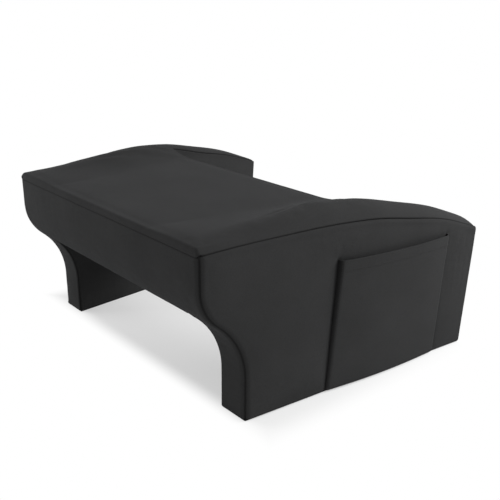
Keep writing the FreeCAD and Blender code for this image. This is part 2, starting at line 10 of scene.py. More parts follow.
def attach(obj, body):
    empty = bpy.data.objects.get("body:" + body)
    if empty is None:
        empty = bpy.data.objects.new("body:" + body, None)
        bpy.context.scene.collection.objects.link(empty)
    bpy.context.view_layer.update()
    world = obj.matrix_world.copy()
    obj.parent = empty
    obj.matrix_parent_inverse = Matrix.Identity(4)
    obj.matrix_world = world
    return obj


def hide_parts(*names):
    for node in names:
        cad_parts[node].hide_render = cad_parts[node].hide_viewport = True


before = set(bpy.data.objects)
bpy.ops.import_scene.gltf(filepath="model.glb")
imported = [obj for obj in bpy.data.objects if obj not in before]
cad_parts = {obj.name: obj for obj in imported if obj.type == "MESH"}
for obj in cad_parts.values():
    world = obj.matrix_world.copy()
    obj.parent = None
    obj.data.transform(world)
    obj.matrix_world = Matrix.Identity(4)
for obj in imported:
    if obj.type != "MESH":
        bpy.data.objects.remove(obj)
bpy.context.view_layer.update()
scene = bpy.context.scene

# lengths in mm: y runs back from the front face, z up from the floor
tray = dict(
    frontHalf=320, splay=5.4, sideThick=70, depth=656, rearFoot=638, rearLean=18, endHeight=261, armEnd=655.5,
    height=327, bedDepth=376, underside=194, legSetback=86, legStraight=81, sway=182, upperShare=0.4,
    rollDepth=7, rollRise=9, lip=3.5, lipReach=45, flankReach=80, ridgeSoft=12, padDepth=16,
    cornerRoll=15, cornerReach=95, cornerLip=5.5, cornerClimb=0.06, cornerRound=11,
)
# depth, outer seam height, inner crest height and crown of the arms
armSeam, armCrest, armCrown = 1, 2, 3
armStations = np.array([
    (-6, 319, 327.5, 7.5), (70, 322.3, 331.5, 11), (150.4, 323.3, 338, 13.5), (293.3, 321.5, 351, 14.5),
    (376, 315.3, 338, 17), (460, 301.6, 316.5, 17.3), (549.6, 285.3, 297, 12.7), (662, 248, 261.5, 6.5),
])
sweeps = (tray["sway"] ** 2 + tray["legSetback"] ** 2) / (2 * tray["legSetback"])
upperSweep = sweeps * tray["upperShare"]
lowerSweep = sweeps - upperSweep
swayTop = tray["legStraight"] + tray["sway"]
swayTurn = math.acos(1 - tray["legSetback"] / sweeps)
frontSeam = tray["height"] - tray["rollRise"]
bedDepth = tray["bedDepth"]


def outerX(y):
    return tray["frontHalf"] + math.tan(math.radians(tray["splay"])) * y


def innerX(y):
    return outerX(y) - tray["sideThick"]


def rearY(z):
    return tray["rearFoot"] + tray["rearLean"] * z / tray["endHeight"]


def frontPath(q):
    # the front profile, q mm down from the seam under the rolled edge: depth and height
    q = np.asarray(q, float)
    drop = frontSeam - swayTop
    first, second = drop + upperSweep * swayTurn, drop + (upperSweep + lowerSweep) * swayTurn
    a = np.clip((q - drop) / upperSweep, 0, swayTurn)
    b = swayTurn - np.clip((q - first) / lowerSweep, 0, swayTurn)
    upper = upperSweep * (1 - np.cos(a)), swayTop - upperSweep * np.sin(a)
    lower = tray["legSetback"] - lowerSweep * (1 - np.cos(b)), tray["legStraight"] + lowerSweep * np.sin(b)
    y = np.where(q < first, upper[0], lower[0])
    z = np.where(q < drop, frontSeam - q, np.where(q < first, upper[1], lower[1]))
    return y, np.where(q < second, z, tray["legStraight"] - (q - second))


profileLength = frontSeam - swayTop + sweeps * swayTurn + tray["legStraight"]
profileQ = np.linspace(0, profileLength, 1200)
profileY, profileZ = frontPath(profileQ)


def frontY(z):
    return np.interp(z, profileZ[::-1], profileY[::-1])


def through(which, y):
    # a smooth line through one column of the arm's stations
    places, values = armStations[:, 0], armStations[:, which]
    slopes = np.gradient(values, places)
    y = np.asarray(y, float)
    k = np.clip(np.searchsorted(places, y) - 1, 0, len(places) - 2)
    run = places[k + 1] - places[k]
    t = np.clip((y - places[k]) / run, 0, 1)
    start = values[k] * (1 + 2 * t) * (1 - t) ** 2 + slopes[k] * run * t * (1 - t) ** 2
    return start + values[k + 1] * t * t * (3 - 2 * t) + slopes[k + 1] * run * t * t * (t - 1)


rimPlaces = np.array([  # fine grid lines beside a rim
    0, 0.4, 0.9, 1.5, 2.2, 3, 4, 5.2, 6.6, 8.3, 10.4, 13, 16.5, 21])
fineShare = 0.42  # the most of a run that they take up from one end


def gridLines(step, *runs):
    # grid lines along a chain of runs, each (length, fine at its start, fine at its end)
    segment, share, breaks = [0], [0.0], [0]
    for k, (length, near, far) in enumerate(runs):
        fine = rimPlaces[rimPlaces < fineShare * length]
        head = fine if near else np.zeros(1)
        tail = length - fine if far else np.full(1, float(length))
        count = max(1, round((tail[-1] - head[-1]) / step))
        middle = np.linspace(head[-1], tail[-1], count + 1)[1:-1]
        for mark in np.concatenate((head[1:], middle, tail[::-1])):
            segment.append(k)
            share.append(mark / length)
        breaks.append(len(share) - 1)
    return np.array(segment), np.array(share), breaks


def spread(segment, share, *marks):
    # grid lines spread over runs from mark to mark
    runs = [start + share * (end - start) for start, end in zip(marks, marks[1:])]
    return np.select([segment == k for k in range(len(runs))], runs)


def evenGrid(step, *lengths):
    # one run for each direction of a plain panel, fine at both ends
    return [gridLines(step, (length, True, True))[1] for length in lengths]


def column(j, rows):
    return [(int(i), int(j)) for i in rows]


def row(i, columns):
    return [(int(i), int(j)) for j in columns]


def seamRoll(turn, radius, fold, share, gap=0.25):
    # the cloth's path out of a seam: over a tight fold, then round this panel's share of the edge to its flat
    half = math.radians(turn) * share
    lean = half - math.asin((fold + gap) / (radius - fold)) if radius > 2 * fold + gap else -1
    if lean > 0:
        reach = radius * math.tan(math.radians(turn) / 2)
        small = reach - (radius - fold) * math.sin(lean), radius - (radius - fold) * math.cos(lean)
        edge = np.linspace(0, lean, 9)[:-1]
        inset, drop = reach - radius * np.sin(edge), radius * (1 - np.cos(edge))
    else:
        lean = 0
        small = (fold + gap + fold * math.sin(half)) / math.cos(half), fold
        reach, inset, drop = small[0], np.zeros(0), np.zeros(0)
    tight = np.linspace(lean, half + math.pi / 2, 15)
    inset = np.concatenate((inset, small[0] - fold * np.sin(tight)))[::-1]
    drop = np.concatenate((drop, small[1] - fold * np.cos(tight)))[::-1]
    arc = np.concatenate(([0], np.cumsum(np.hypot(np.diff(inset), np.diff(drop)))))
    return dict(reach=reach, arc=arc, inset=inset, drop=drop, slope=math.tan(half))


def unit(v):
    return v / np.maximum(np.linalg.norm(v, axis=-1, keepdims=True), 1e-9)


def place(points):
    # from mm behind the front face to metres in the CAD frame
    return (np.asarray(points, float) - (0, tray["depth"] / 2, 0)) * 0.001


def addObject(name, data):
    obj = bpy.data.objects.new(name, data)
    scene.collection.objects.link(obj)
    return obj


def addMesh(name, points, faces, edges=()):
    mesh = bpy.data.meshes.new(name)
    mesh.from_pydata(np.asarray(points).tolist(), list(edges), [tuple(map(int, f)) for f in faces])
    return addObject(name, mesh)


def stacked(*parts):
    return np.stack(np.broadcast_arrays(*parts), axis=-1)


def lengthsAlong(line):
    return np.concatenate(([0], np.cumsum(np.linalg.norm(np.diff(line, axis=0), axis=1))))


def pointTree(points):
    tree = KDTree(len(points))
    for k, point in enumerate(points):
        tree.insert(point, k)
    tree.balance()
    return tree


def ripple(along, wave, seed):
    # a seeded uneven wave along a line
    count = 4096
    heights = np.random.default_rng(seed).uniform(-1, 1, count)
    spot = np.asarray(along) / wave
    k = np.floor(spot).astype(int)
    t = spot - k
    here, after = heights[k % count], heights[(k + 1) % count]
    return here + (after - here) * t * t * (3 - 2 * t)


def dressMesh(mesh, flat, seam, material):
    # smooth faces, the cloth's own UV map in metres, the shade painted along its seams and its finish
    mesh.polygons.foreach_set("use_smooth", [True] * len(mesh.polygons))
    corners = np.zeros(len(mesh.loops), int)
    mesh.loops.foreach_get("vertex_index", corners)
    mesh.uv_layers.new(name="cloth").data.foreach_set("uv", (flat * 0.001)[corners].astype(np.float32).ravel())
    mesh.attributes.new("seam", "FLOAT", "POINT").data.foreach_set("value", seam.astype(np.float32))
    mesh.materials.append(material)


# cloth along a seam, with the shade painted down in it and beside it: lengths in mm and shares
seamCloth = dict(sharp=62, sample=0.25, groove=1.7, grooveDark=0.75, besideDark=0.25, besideWidth=7, backFade=30,
                 puckerWidth=7, shortWave=13, longWave=29, longShare=0.6, uneven=0.55, unevenScale=0.008, unevenFrom=40)
# the cloth simulation that pads the panels
padding = dict(frames=20, quality=6, mass=0.004, damping=6.0, stretch=15, shear=5, bend=0.5, easeIn=12, quickReach=45)


class Panel:
    # a sewn panel of padded cloth on a grid of points, its rims rolled down into the seams
    def __init__(self, name, points, outward, hole=None, flat=None):
        self.name, self.points = name, points
        rows, columns = points.shape[:2]
        self.kept = np.ones((rows - 1, columns - 1), bool)
        if hole:
            self.kept[hole] = False
        corner = points[:-1, :-1], points[1:, :-1], points[1:, 1:], points[:-1, 1:]
        facing = unit(np.cross(corner[2] - corner[0], corner[3] - corner[1])) * self.kept[..., None]
        self.flip = float(facing[self.kept].mean(0) @ np.array(outward, float)) < 0
        self.used, across = np.zeros((rows, columns), bool), np.zeros_like(points)
        for di in (0, 1):
            for dj in (0, 1):
                block = slice(di, rows - 1 + di), slice(dj, columns - 1 + dj)
                self.used[block] |= self.kept
                across[block] += facing
        self.normal = unit(-across if self.flip else across)
        self.flat = points[..., [0, 1]] if flat is None else flat
        self.shift = np.zeros_like(points)
        self.back = np.zeros_like(points)
        self.nearest = np.full((rows, columns), 1e9)
        # 1, falling where shade is painted down into the seams
        self.seam = np.ones((rows, columns))
        self.pucker = []
        self.sewn = {}

    def wholeSide(self, name):
        rows, columns = self.points.shape[:2]
        return {"first": row(0, range(columns)), "last": row(rows - 1, range(columns)),
                "low": column(0, range(rows)), "high": column(columns - 1, range(rows))}[name]

    def rim(self, label, path, turn, radius, fold, pucker=0.14, shade=1.0, share=0.5, beyond=0):
        # path: grid cells, or the name of a whole side; turn: one angle, or one for each cell
        path = np.array(self.wholeSide(path) if isinstance(path, str) else path)
        turns = np.broadcast_to(np.asarray(turn, float), len(path))
        line = self.points[path[:, 0], path[:, 1]]
        ways = self.waysIn(path, line)
        # closely spaced points of the rim, and a little beyond its end, to measure from
        line = np.concatenate((line, line[-1:] + unit(line[-1:] - line[-2:-1]) * beyond))
        lengths = lengthsAlong(line)
        marks = np.linspace(0, lengths[-1], max(2, int(lengths[-1] / seamCloth["sample"])))
        tree = pointTree(stacked(*(np.interp(marks, lengths, line[:, k]) for k in range(3))))
        rows, columns = self.points.shape[:2]
        distance, along = np.full((rows, columns), 1e9), np.zeros((rows, columns))
        way = np.zeros_like(self.points)
        owner = np.zeros((rows, columns), int)
        for i, j in np.argwhere(self.used):
            spot, k, d = tree.find(self.points[i, j])
            distance[i, j], along[i, j] = d, marks[k]
            owner[i, j] = np.abs(lengths[:-1] - marks[k]).argmin() if len(set(turns)) > 1 else 0
            way[i, j] = self.points[i, j] - np.array(spot)
        for (i, j), inward in zip(path, ways):
            distance[i, j], way[i, j] = 0, inward
        way -= self.normal * (way * self.normal).sum(-1, keepdims=True)
        way = unit(way)
        deep = tray["padDepth"]
        for angle in set(turns):
            roll = seamRoll(angle, radius, fold, share)
            mine = self.used & (turns[owner] == angle)
            d = distance[mine]
            bent = np.minimum(d / roll["reach"], 1) * roll["arc"][-1]
            inset = np.where(d < roll["reach"], np.interp(bent, roll["arc"], roll["inset"]) - d, 0)
            drop = np.where(d < roll["reach"], np.interp(bent, roll["arc"], roll["drop"]), 0)
            self.shift[mine] += way[mine] * inset[:, None] - self.normal[mine] * drop[:, None]
            lead = roll["inset"][0] + (deep - roll["drop"][0]) * roll["slope"]
            fade = np.clip(1 - d / max(3 * lead, seamCloth["backFade"]), 0, 1)
            self.back[mine] += way[mine] * (lead * fade)[:, None]
            # painted shade: the colour darkens deep in the fold and more softly beside the seam
            deepIn = d / roll["reach"] * roll["arc"][-1]
            dark = seamCloth["grooveDark"] * np.exp(-(deepIn / (seamCloth["groove"] * fold)) ** 2)
            dark += seamCloth["besideDark"] * np.exp(-deepIn / seamCloth["besideWidth"])
            self.seam[mine] = np.minimum(self.seam[mine], 1 - shade * dark)
        self.nearest = np.minimum(self.nearest, distance)
        self.pucker.append((distance, along, pucker))
        self.sewn[label] = path

    def rims(self, *seams):
        for label, path, edge in seams:
            self.rim(label, path, **edge)

    def waysIn(self, path, line):
        onRim = {tuple(p) for p in path}
        rows, columns = self.points.shape[:2]
        ways = []
        for (i, j), spot in zip(path, line):
            total = np.zeros(3)
            for a, b in ((i + 1, j), (i - 1, j), (i, j + 1), (i, j - 1)):
                if 0 <= a < rows and 0 <= b < columns and self.used[a, b] and (a, b) not in onRim:
                    total += unit(self.points[a, b] - spot)
            ways.append(unit(total))
        return np.array(ways)

    def swell(self, cap, pressure=4.0, pinReach=9.0, pins=None):
        # air pressure on the sewn-down cloth, run on every second grid line and read back between them
        rows, columns = self.points.shape[:2]
        lines = [self.simLines(rows, 0), self.simLines(columns, 1)]
        grid = np.ix_(*lines)
        start = place((self.points + self.shift)[grid])
        held = (self.nearest[grid] < pinReach) | (pins[grid] if pins is not None else False)
        number = np.arange(held.size).reshape(held.shape)
        faces = []
        for a in range(len(lines[0]) - 1):
            for b in range(len(lines[1]) - 1):
                if self.kept[lines[0][a], lines[1][b]]:
                    quad = (number[a, b], number[a + 1, b], number[a + 1, b + 1], number[a, b + 1])
                    faces.append(quad[::-1] if self.flip else quad)
        obj = addMesh(self.name + "Sim", start.reshape(-1, 3), faces)
        sewn = obj.vertex_groups.new(name="sewn")
        sewn.add([int(k) for k in number[held]], 1.0, "REPLACE")
        cloth = obj.modifiers.new("cloth", "CLOTH")
        setting = cloth.settings
        setting.quality, setting.mass, setting.air_damping = (padding[k] for k in ("quality", "mass", "damping"))
        setting.tension_stiffness = setting.compression_stiffness = padding["stretch"]
        setting.shear_stiffness, setting.bending_stiffness = padding["shear"], padding["bend"]
        setting.vertex_group_mass = "sewn"
        setting.use_pressure, setting.uniform_pressure_force = True, pressure
        setting.effector_weights.gravity = 0
        cloth.point_cache.frame_start, cloth.point_cache.frame_end = 1, padding["frames"]
        for step in range(1, padding["frames"] + 1):
            scene.frame_set(step)
        shown = obj.evaluated_get(bpy.context.evaluated_depsgraph_get())
        moved = np.zeros(len(shown.data.vertices) * 3)
        shown.data.vertices.foreach_get("co", moved)
        move = (moved.reshape(start.shape) - start) * 1000
        far = np.linalg.norm(move, axis=-1, keepdims=True)
        print(f"  {self.name}: cloth moved {far.max():.1f} mm, capped at {cap}")
        move *= cap * np.tanh(far / cap) / np.maximum(far, 1e-9)
        scene.frame_set(1)
        bpy.data.objects.remove(obj)
        for axis in (0, 1):
            count = self.points.shape[axis]
            move = np.apply_along_axis(lambda v: np.interp(np.arange(count), lines[axis], v), axis, move)
        self.shift += move * np.clip((self.nearest - pinReach) / padding["easeIn"], 0, 1)[..., None]

    def simLines(self, count, axis):
        # every second line, and each line where the panel's outline steps
        step = np.any(np.diff(self.kept.astype(int), axis=axis) != 0, axis=1 - axis)
        must = {0, count - 1} | {int(k) + 1 for k in np.flatnonzero(step)}
        return np.array(sorted(must | set(range(0, count, 2))))

    def surface(self, seed):
        moved = self.points + self.shift
        uneven = np.zeros(self.points.shape[:2])
        for k, (distance, along, size) in enumerate(self.pucker):
            near = np.clip(distance - 1, 0, None) / seamCloth["puckerWidth"]
            wave = ripple(along, seamCloth["shortWave"], seed * 31 + k)
            wave = wave + seamCloth["longShare"] * ripple(along, seamCloth["longWave"], seed * 57 + k)
            uneven += size * near * np.exp(1 - near) * wave
        for i, j in np.argwhere(self.used):
            spot = Vector(self.points[i, j]) * seamCloth["unevenScale"] + Vector((seed * 3.7, 0, 0))
            rise = min(1, self.nearest[i, j] / seamCloth["unevenFrom"])
            uneven[i, j] += seamCloth["uneven"] * noise.noise(spot) * rise
        return moved + self.normal * uneven[..., None]

    def build(self, name, material, seed, mirror=False):
        front = place(self.surface(seed))
        back = place(self.points + self.back - self.normal * tray["padDepth"])
        if mirror:
            front, back = front * (-1, 1, 1), back * (-1, 1, 1)
        number = np.full(self.used.shape, -1)
        number[self.used] = np.arange(self.used.sum())
        total = int(self.used.sum())
        faces, rim = [], {}
        turned = self.flip != mirror
        for i, j in np.argwhere(self.kept):
            quad = [int(number[a, b]) for a, b in ((i, j), (i + 1, j), (i + 1, j + 1), (i, j + 1))]
            if turned:
                quad.reverse()
            faces.append(quad)
            faces.append([k + total for k in reversed(quad)])
            for a, b in zip(quad, quad[1:] + quad[:1]):
                if (b, a) in rim:
                    del rim[(b, a)]
                else:
                    rim[(a, b)] = True
        faces += [(b, a, a + total, b + total) for a, b in rim]
        obj = addMesh(name, np.concatenate((front[self.used], back[self.used])), faces)
        flat, seam = np.tile(self.flat[self.used], (2, 1)), np.tile(self.seam[self.used], 2)
        dressMesh(obj.data, flat, seam, material)
        obj.data.set_sharp_from_angle(angle=math.radians(seamCloth["sharp"]))
        obj.data.update()
        return obj

    def rimLine(self, label, mirror=False):
        # the bottom of a seam, for its thread
        path = self.sewn[label]
        line = place((self.points + self.shift)[path[:, 0], path[:, 1]])
        return line * (-1, 1, 1) if mirror else line


class Wire:
    # one socket of a node tree, so that shader maths reads as plain sums
    def __init__(self, bench, socket):
        self.bench, self.socket = bench, socket

    def work(self, operation, first, second=0.0):
        return self.bench.node("ShaderNodeMath", {"operation": operation}, {0: first, 1: second})[0]

    def __add__(self, other): return self.work("ADD", self, other)
    def __radd__(self, other): return self.work("ADD", other, self)
    def __sub__(self, other): return self.work("SUBTRACT", self, other)
    def __rsub__(self, other): return self.work("SUBTRACT", other, self)
    def __mul__(self, other): return self.work("MULTIPLY", self, other)
    def __rmul__(self, other): return self.work("MULTIPLY", other, self)
    def __truediv__(self, other): return self.work("DIVIDE", self, other)
    def __abs__(self): return self.work("ABSOLUTE", self)
    def sine(self): return self.work("SINE", self)
    def larger(self, other): return self.work("MAXIMUM", self, other)


class Bench:
    # makes the nodes of one tree
    def __init__(self, tree):
        self.tree = tree

    def node(self, kind, settings=None, sockets=None):
        made = self.tree.nodes.new(kind)
        for key, value in (settings or {}).items():
            setattr(made, key, value)
        for key, value in (sockets or {}).items():
            if isinstance(value, Wire):
                self.tree.links.new(value.socket, made.inputs[key])
            else:
                made.inputs[key].default_value = value
        return Outputs(self, made)

    def body(self):
        return self.node("ShaderNodeTexCoord")["Object"]

    def speckle(self, where, scale, detail, distortion=0.0):
        return self.node("ShaderNodeTexNoise", {}, {
            "Vector": where, "Scale": scale, "Detail": detail, "Distortion": distortion})["Fac"]

    def stretch(self, where, scale):
        return self.node("ShaderNodeMapping", {}, {"Vector": where, "Scale": scale})["Vector"]

    def split(self, where):
        return self.node("ShaderNodeSeparateXYZ", {}, {"Vector": where})

    def blend(self, share, first, second):
        return self.node("ShaderNodeMix", {"data_type": "RGBA"}, {0: share, 6: first, 7: second})[2]

    def bump(self, height, distance, strength):
        return self.node("ShaderNodeBump", {}, {"Height": height, "Distance": distance, "Strength": strength})["Normal"]

    def seen(self):
        # 1 for what the camera sees, straight or in a shiny surface
        rays = self.node("ShaderNodeLightPath")
        return rays["Is Camera Ray"].larger(rays["Is Glossy Ray"]).larger(rays["Is Transmission Ray"])

    def finish(self, sockets):
        shader = self.node("ShaderNodeBsdfPrincipled", {}, sockets)
        self.node("ShaderNodeOutputMaterial", {}, {"Surface": shader["BSDF"]})


class Outputs:
    def __init__(self, bench, made):
        self.bench, self.made = bench, made

    def __getitem__(self, key):
        return Wire(self.bench, self.made.outputs[key])


def newMaterial(name):
    material = bpy.data.materials.new(name)
    material.use_nodes = True
    material.node_tree.nodes.clear()
    return material, Bench(material.node_tree)


def grey(level, tint=(1, 1, 1)):
    return tuple(level * t for t in tint) + (1.0,)


def clothMaterial(name, look):
    # plain-woven matte cloth: threads, a soft fuzz and painted shade down in the seams
    material, bench = newMaterial(name)
    parts = bench.split(bench.node("ShaderNodeUVMap", {"uv_map": "cloth"})["UV"])
    turn = math.pi / look["thread"]
    warp, weft = (parts["X"] * turn).sine(), (parts["Y"] * turn).sine()
    over = warp * weft * 0.5 + 0.5
    weave = ((1 - warp * warp) * over).larger((1 - weft * weft) * (1 - over))
    body = bench.body()
    fuzz, cloud = bench.speckle(body, look["fuzz"], 3.0), bench.speckle(body, look["cloud"], 2.0)
    seam = bench.node("ShaderNodeAttribute", {"attribute_name": "seam"})["Fac"]
    tone = look["plainTone"] + weave * look["weaveTone"] + fuzz * look["fuzzTone"] + (cloud - 0.5) * look["cloudTone"]
    # painted shade: the tone falls where the seam attribute marks cloth lying down in a seam
    tone = tone * (look["seamShade"] + seam * (1 - look["seamShade"]))
    height = weave * look["relief"] + fuzz * 0.5 * look["relief"]
    bench.finish({
        "Base Color": bench.blend(tone * 0.5, (0, 0, 0, 1), tuple(2 * c for c in look["colour"]) + (1.0,)),
        "Roughness": look["rough"] + (fuzz - 0.5) * look["fuzzRough"],
        "Normal": bench.bump(height, look["depth"], look["bump"]),
        "Specular IOR Level": look["shine"], "Sheen Weight": look["sheen"],
        "Sheen Roughness": look["sheenRough"], "Sheen Tint": look["sheenTint"]})
    return material


coverLook = dict(
    colour=(0.0335, 0.0336, 0.0339), thread=0.0009, fuzz=420.0, cloud=9.0, plainTone=0.62, weaveTone=0.22,
    fuzzTone=0.34, cloudTone=0.3, seamShade=0.36, relief=1.0, depth=0.0004, bump=0.35, rough=0.9, fuzzRough=0.12,
    shine=0.04, sheen=0.015, sheenRough=0.45, sheenTint=(0.9, 0.93, 1.0, 1.0),
)
baseLook = dict(coverLook, colour=(0.024, 0.024, 0.025), thread=0.0016, bump=0.6, sheen=0.02)
tapeLook = dict(coverLook, colour=(0.019, 0.019, 0.021), thread=0.0006, bump=0.5, sheen=0.02)
coverCloth = clothMaterial("coverCloth", coverLook)
baseCloth = clothMaterial("baseCloth", baseLook)
tapeCloth = clothMaterial("tapeCloth", tapeLook)


def threadMaterial(name, look):
    # twisted thread or a moulded coil: fine slanted ridges
    material, bench = newMaterial(name)
    body = bench.body()
    parts = bench.split(body)
    twist = ((parts["X"] + parts["Y"] + parts["Z"]) * (2 * math.pi / look["twist"])).sine() * 0.5 + 0.5
    fuzz = bench.speckle(body, 900.0, 2.0)
    bench.finish({
        "Base Color": bench.blend(twist * 0.6 + fuzz * 0.4, grey(look["dark"]), grey(look["light"])),
        "Roughness": look["rough"] + fuzz * 0.1, "Normal": bench.bump(twist, 0.0001, 0.4),
        "Specular IOR Level": look["shine"]})
    return material


seamThread = threadMaterial("seamThread", dict(twist=0.0011, dark=0.022, light=0.036, rough=0.75, shine=0.1))
# the seam cord, darker than the cloth: painted shade down in the seams
seamCordShade = threadMaterial("seamCordShade", dict(twist=0.0016, dark=0.01, light=0.018, rough=0.8, shine=0.05))
coilNylon = threadMaterial("coilNylon", dict(twist=0.004, dark=0.013, light=0.021, rough=0.34, shine=0.5))


def metalMaterial(name, look):
    # plated or lacquered metal: cloudy tone, fine scratches and a few rubbed places
    material, bench = newMaterial(name)
    body = bench.body()
    cloud = bench.speckle(body, look["cloud"], 4.0)
    scratch = bench.speckle(bench.stretch(body, (60.0, 900.0, 900.0)), 3.0, 2.0)
    worn = bench.node("ShaderNodeMapRange", {}, {0: cloud + (scratch - 0.5) * 0.3, 1: 0.62, 2: 0.74})[0]
    bench.finish({
        "Base Color": bench.blend(worn, grey(look["tone"]), grey(look["rubbed"])), "Metallic": look["metal"],
        "Roughness": look["rough"] + (scratch - 0.5) * 0.15, "Normal": bench.bump(scratch, 0.00003, 0.3)})
    return material


zincSteel = metalMaterial("zincSteel", dict(cloud=160.0, tone=0.5, rubbed=0.62, metal=1.0, rough=0.4))
blackLacquer = metalMaterial("blackLacquer", dict(cloud=420.0, tone=0.03, rubbed=0.09, metal=0.6, rough=0.32))


def plywoodMaterial(look):
    # rotary-cut veneer: long wavering grain with pores
    material, bench = newMaterial("plywood")
    body = bench.body()
    grain = bench.speckle(bench.stretch(body, (3.0, 34.0, 34.0)), 2.2, 6.0, 0.8)
    pore = bench.speckle(bench.stretch(body, (18.0, 420.0, 420.0)), 2.0, 2.0)
    bench.finish({
        "Base Color": bench.blend(grain * 0.8 + pore * 0.2, look["late"], look["early"]),
        "Roughness": 0.6 + pore * 0.2, "Normal": bench.bump(pore, 0.0002, 0.3)})
    return material


# dark plywood, so that behind the zip's gap it reads as shade: painted shade, with the wood's own grain
plywood = plywoodMaterial(dict(late=(0.034, 0.028, 0.023, 1), early=(0.066, 0.056, 0.047, 1)))
print("materials made")

# camera at the photograph's place
shot = dict(spot=(1.1624, -0.94204, 0.70813), ahead=(-0.71697, 0.60951, -0.33832), roll=0.00752, lens=52.92)
camera = addObject("camera", bpy.data.cameras.new("camera"))
camera.data.lens, camera.data.sensor_width = shot["lens"], 36
camera.location = shot["spot"]
aim = Vector(shot["ahead"]).to_track_quat("-Z", "Y") @ Quaternion((0, 0, 1), shot["roll"])
camera.rotation_euler = aim.to_euler()
scene.camera = camera

# seams: corner angle between the two faces, radius of the padded edge, radius of the fold into the seam
# shade: how strongly shade is painted down in the seam
frontEdge = dict(turn=90, radius=9, fold=1.8)
bodyEdge = dict(turn=90, radius=14, fold=1.4, shade=0.85)
topCrown = dict(turn=54, radius=13, fold=1.3, shade=0.3, share=0.3)
sideCrown = dict(topCrown, share=0.7)
floorEdge = dict(turn=90, radius=6, fold=1.6, pucker=0.1)
endEdge = dict(turn=77, radius=18, fold=1.6)
plainSeam = dict(turn=0, radius=1, fold=1.6, shade=0.2)
insideSeam = dict(turn=0, radius=1, fold=2.0)
deckEdge = dict(turn=86, radius=5, fold=1.3, shade=0.3)
lipEdge = dict(frontEdge, turn=46)
slotEdge = dict(turn=0, radius=1, fold=1.0, pucker=0.1)


topSize = dict(step=5.0, cap=1.8, bedRun=200, flankRun=72, armRun=71, rearRun=280, rollShare=0.8,
               softUntil=300, softFade=70, softWindow=30)


def halfSection(y, segment, share):
    # right half of the top's cross-section at one depth: flat bed, flank and crowned arm
    seam, crest, crown = (float(through(k, y)) for k in (armSeam, armCrest, armCrown))
    inside, outside = innerX(y), outerX(y)
    foot, lift = inside - tray["flankReach"], max(crest - tray["height"], 0.4)
    sweep = 2 * math.atan(lift / tray["flankReach"])
    radius = tray["flankReach"] / math.sin(sweep)
    run, fall = outside - inside, seam - crest
    chord = math.hypot(run, fall)
    bend = 2 * math.atan(2 * crown / chord)
    arc = chord / 2 / math.sin(bend)
    t = (2 * share - 1) * bend
    along, above = chord / 2 + arc * np.sin(t), arc * (np.cos(t) - math.cos(bend))
    inBed, inFlank = segment == 0, segment == 1
    x = np.select([inBed, inFlank], [share * foot, foot + radius * np.sin(share * sweep)],
                  inside + (along * run - above * fall) / chord)
    flank = tray["height"] + radius * (1 - np.cos(share * sweep))
    z = np.select([inBed, inFlank], [np.full_like(share, tray["height"]), flank],
                  crest + (along * fall + above * run) / chord)
    return x, z


def softened(x, z, strength):
    # rounds the ridge where the flank meets the arm, as foam does
    places = np.concatenate(([0], np.cumsum(np.hypot(np.diff(x), np.diff(z)))))
    reach = np.arange(0, places[-1], 1.0)
    window = topSize["softWindow"]
    kernel = np.exp(-0.5 * (np.arange(-window, window + 1) / tray["ridgeSoft"]) ** 2)
    kernel /= kernel.sum()
    done = []
    for values in (x, z):
        even = np.interp(reach, places, values)
        smooth = np.convolve(np.pad(even, window, mode="reflect", reflect_type="odd"), kernel, "valid")
        done.append(values + strength * np.interp(places, reach, smooth - even))
    return done


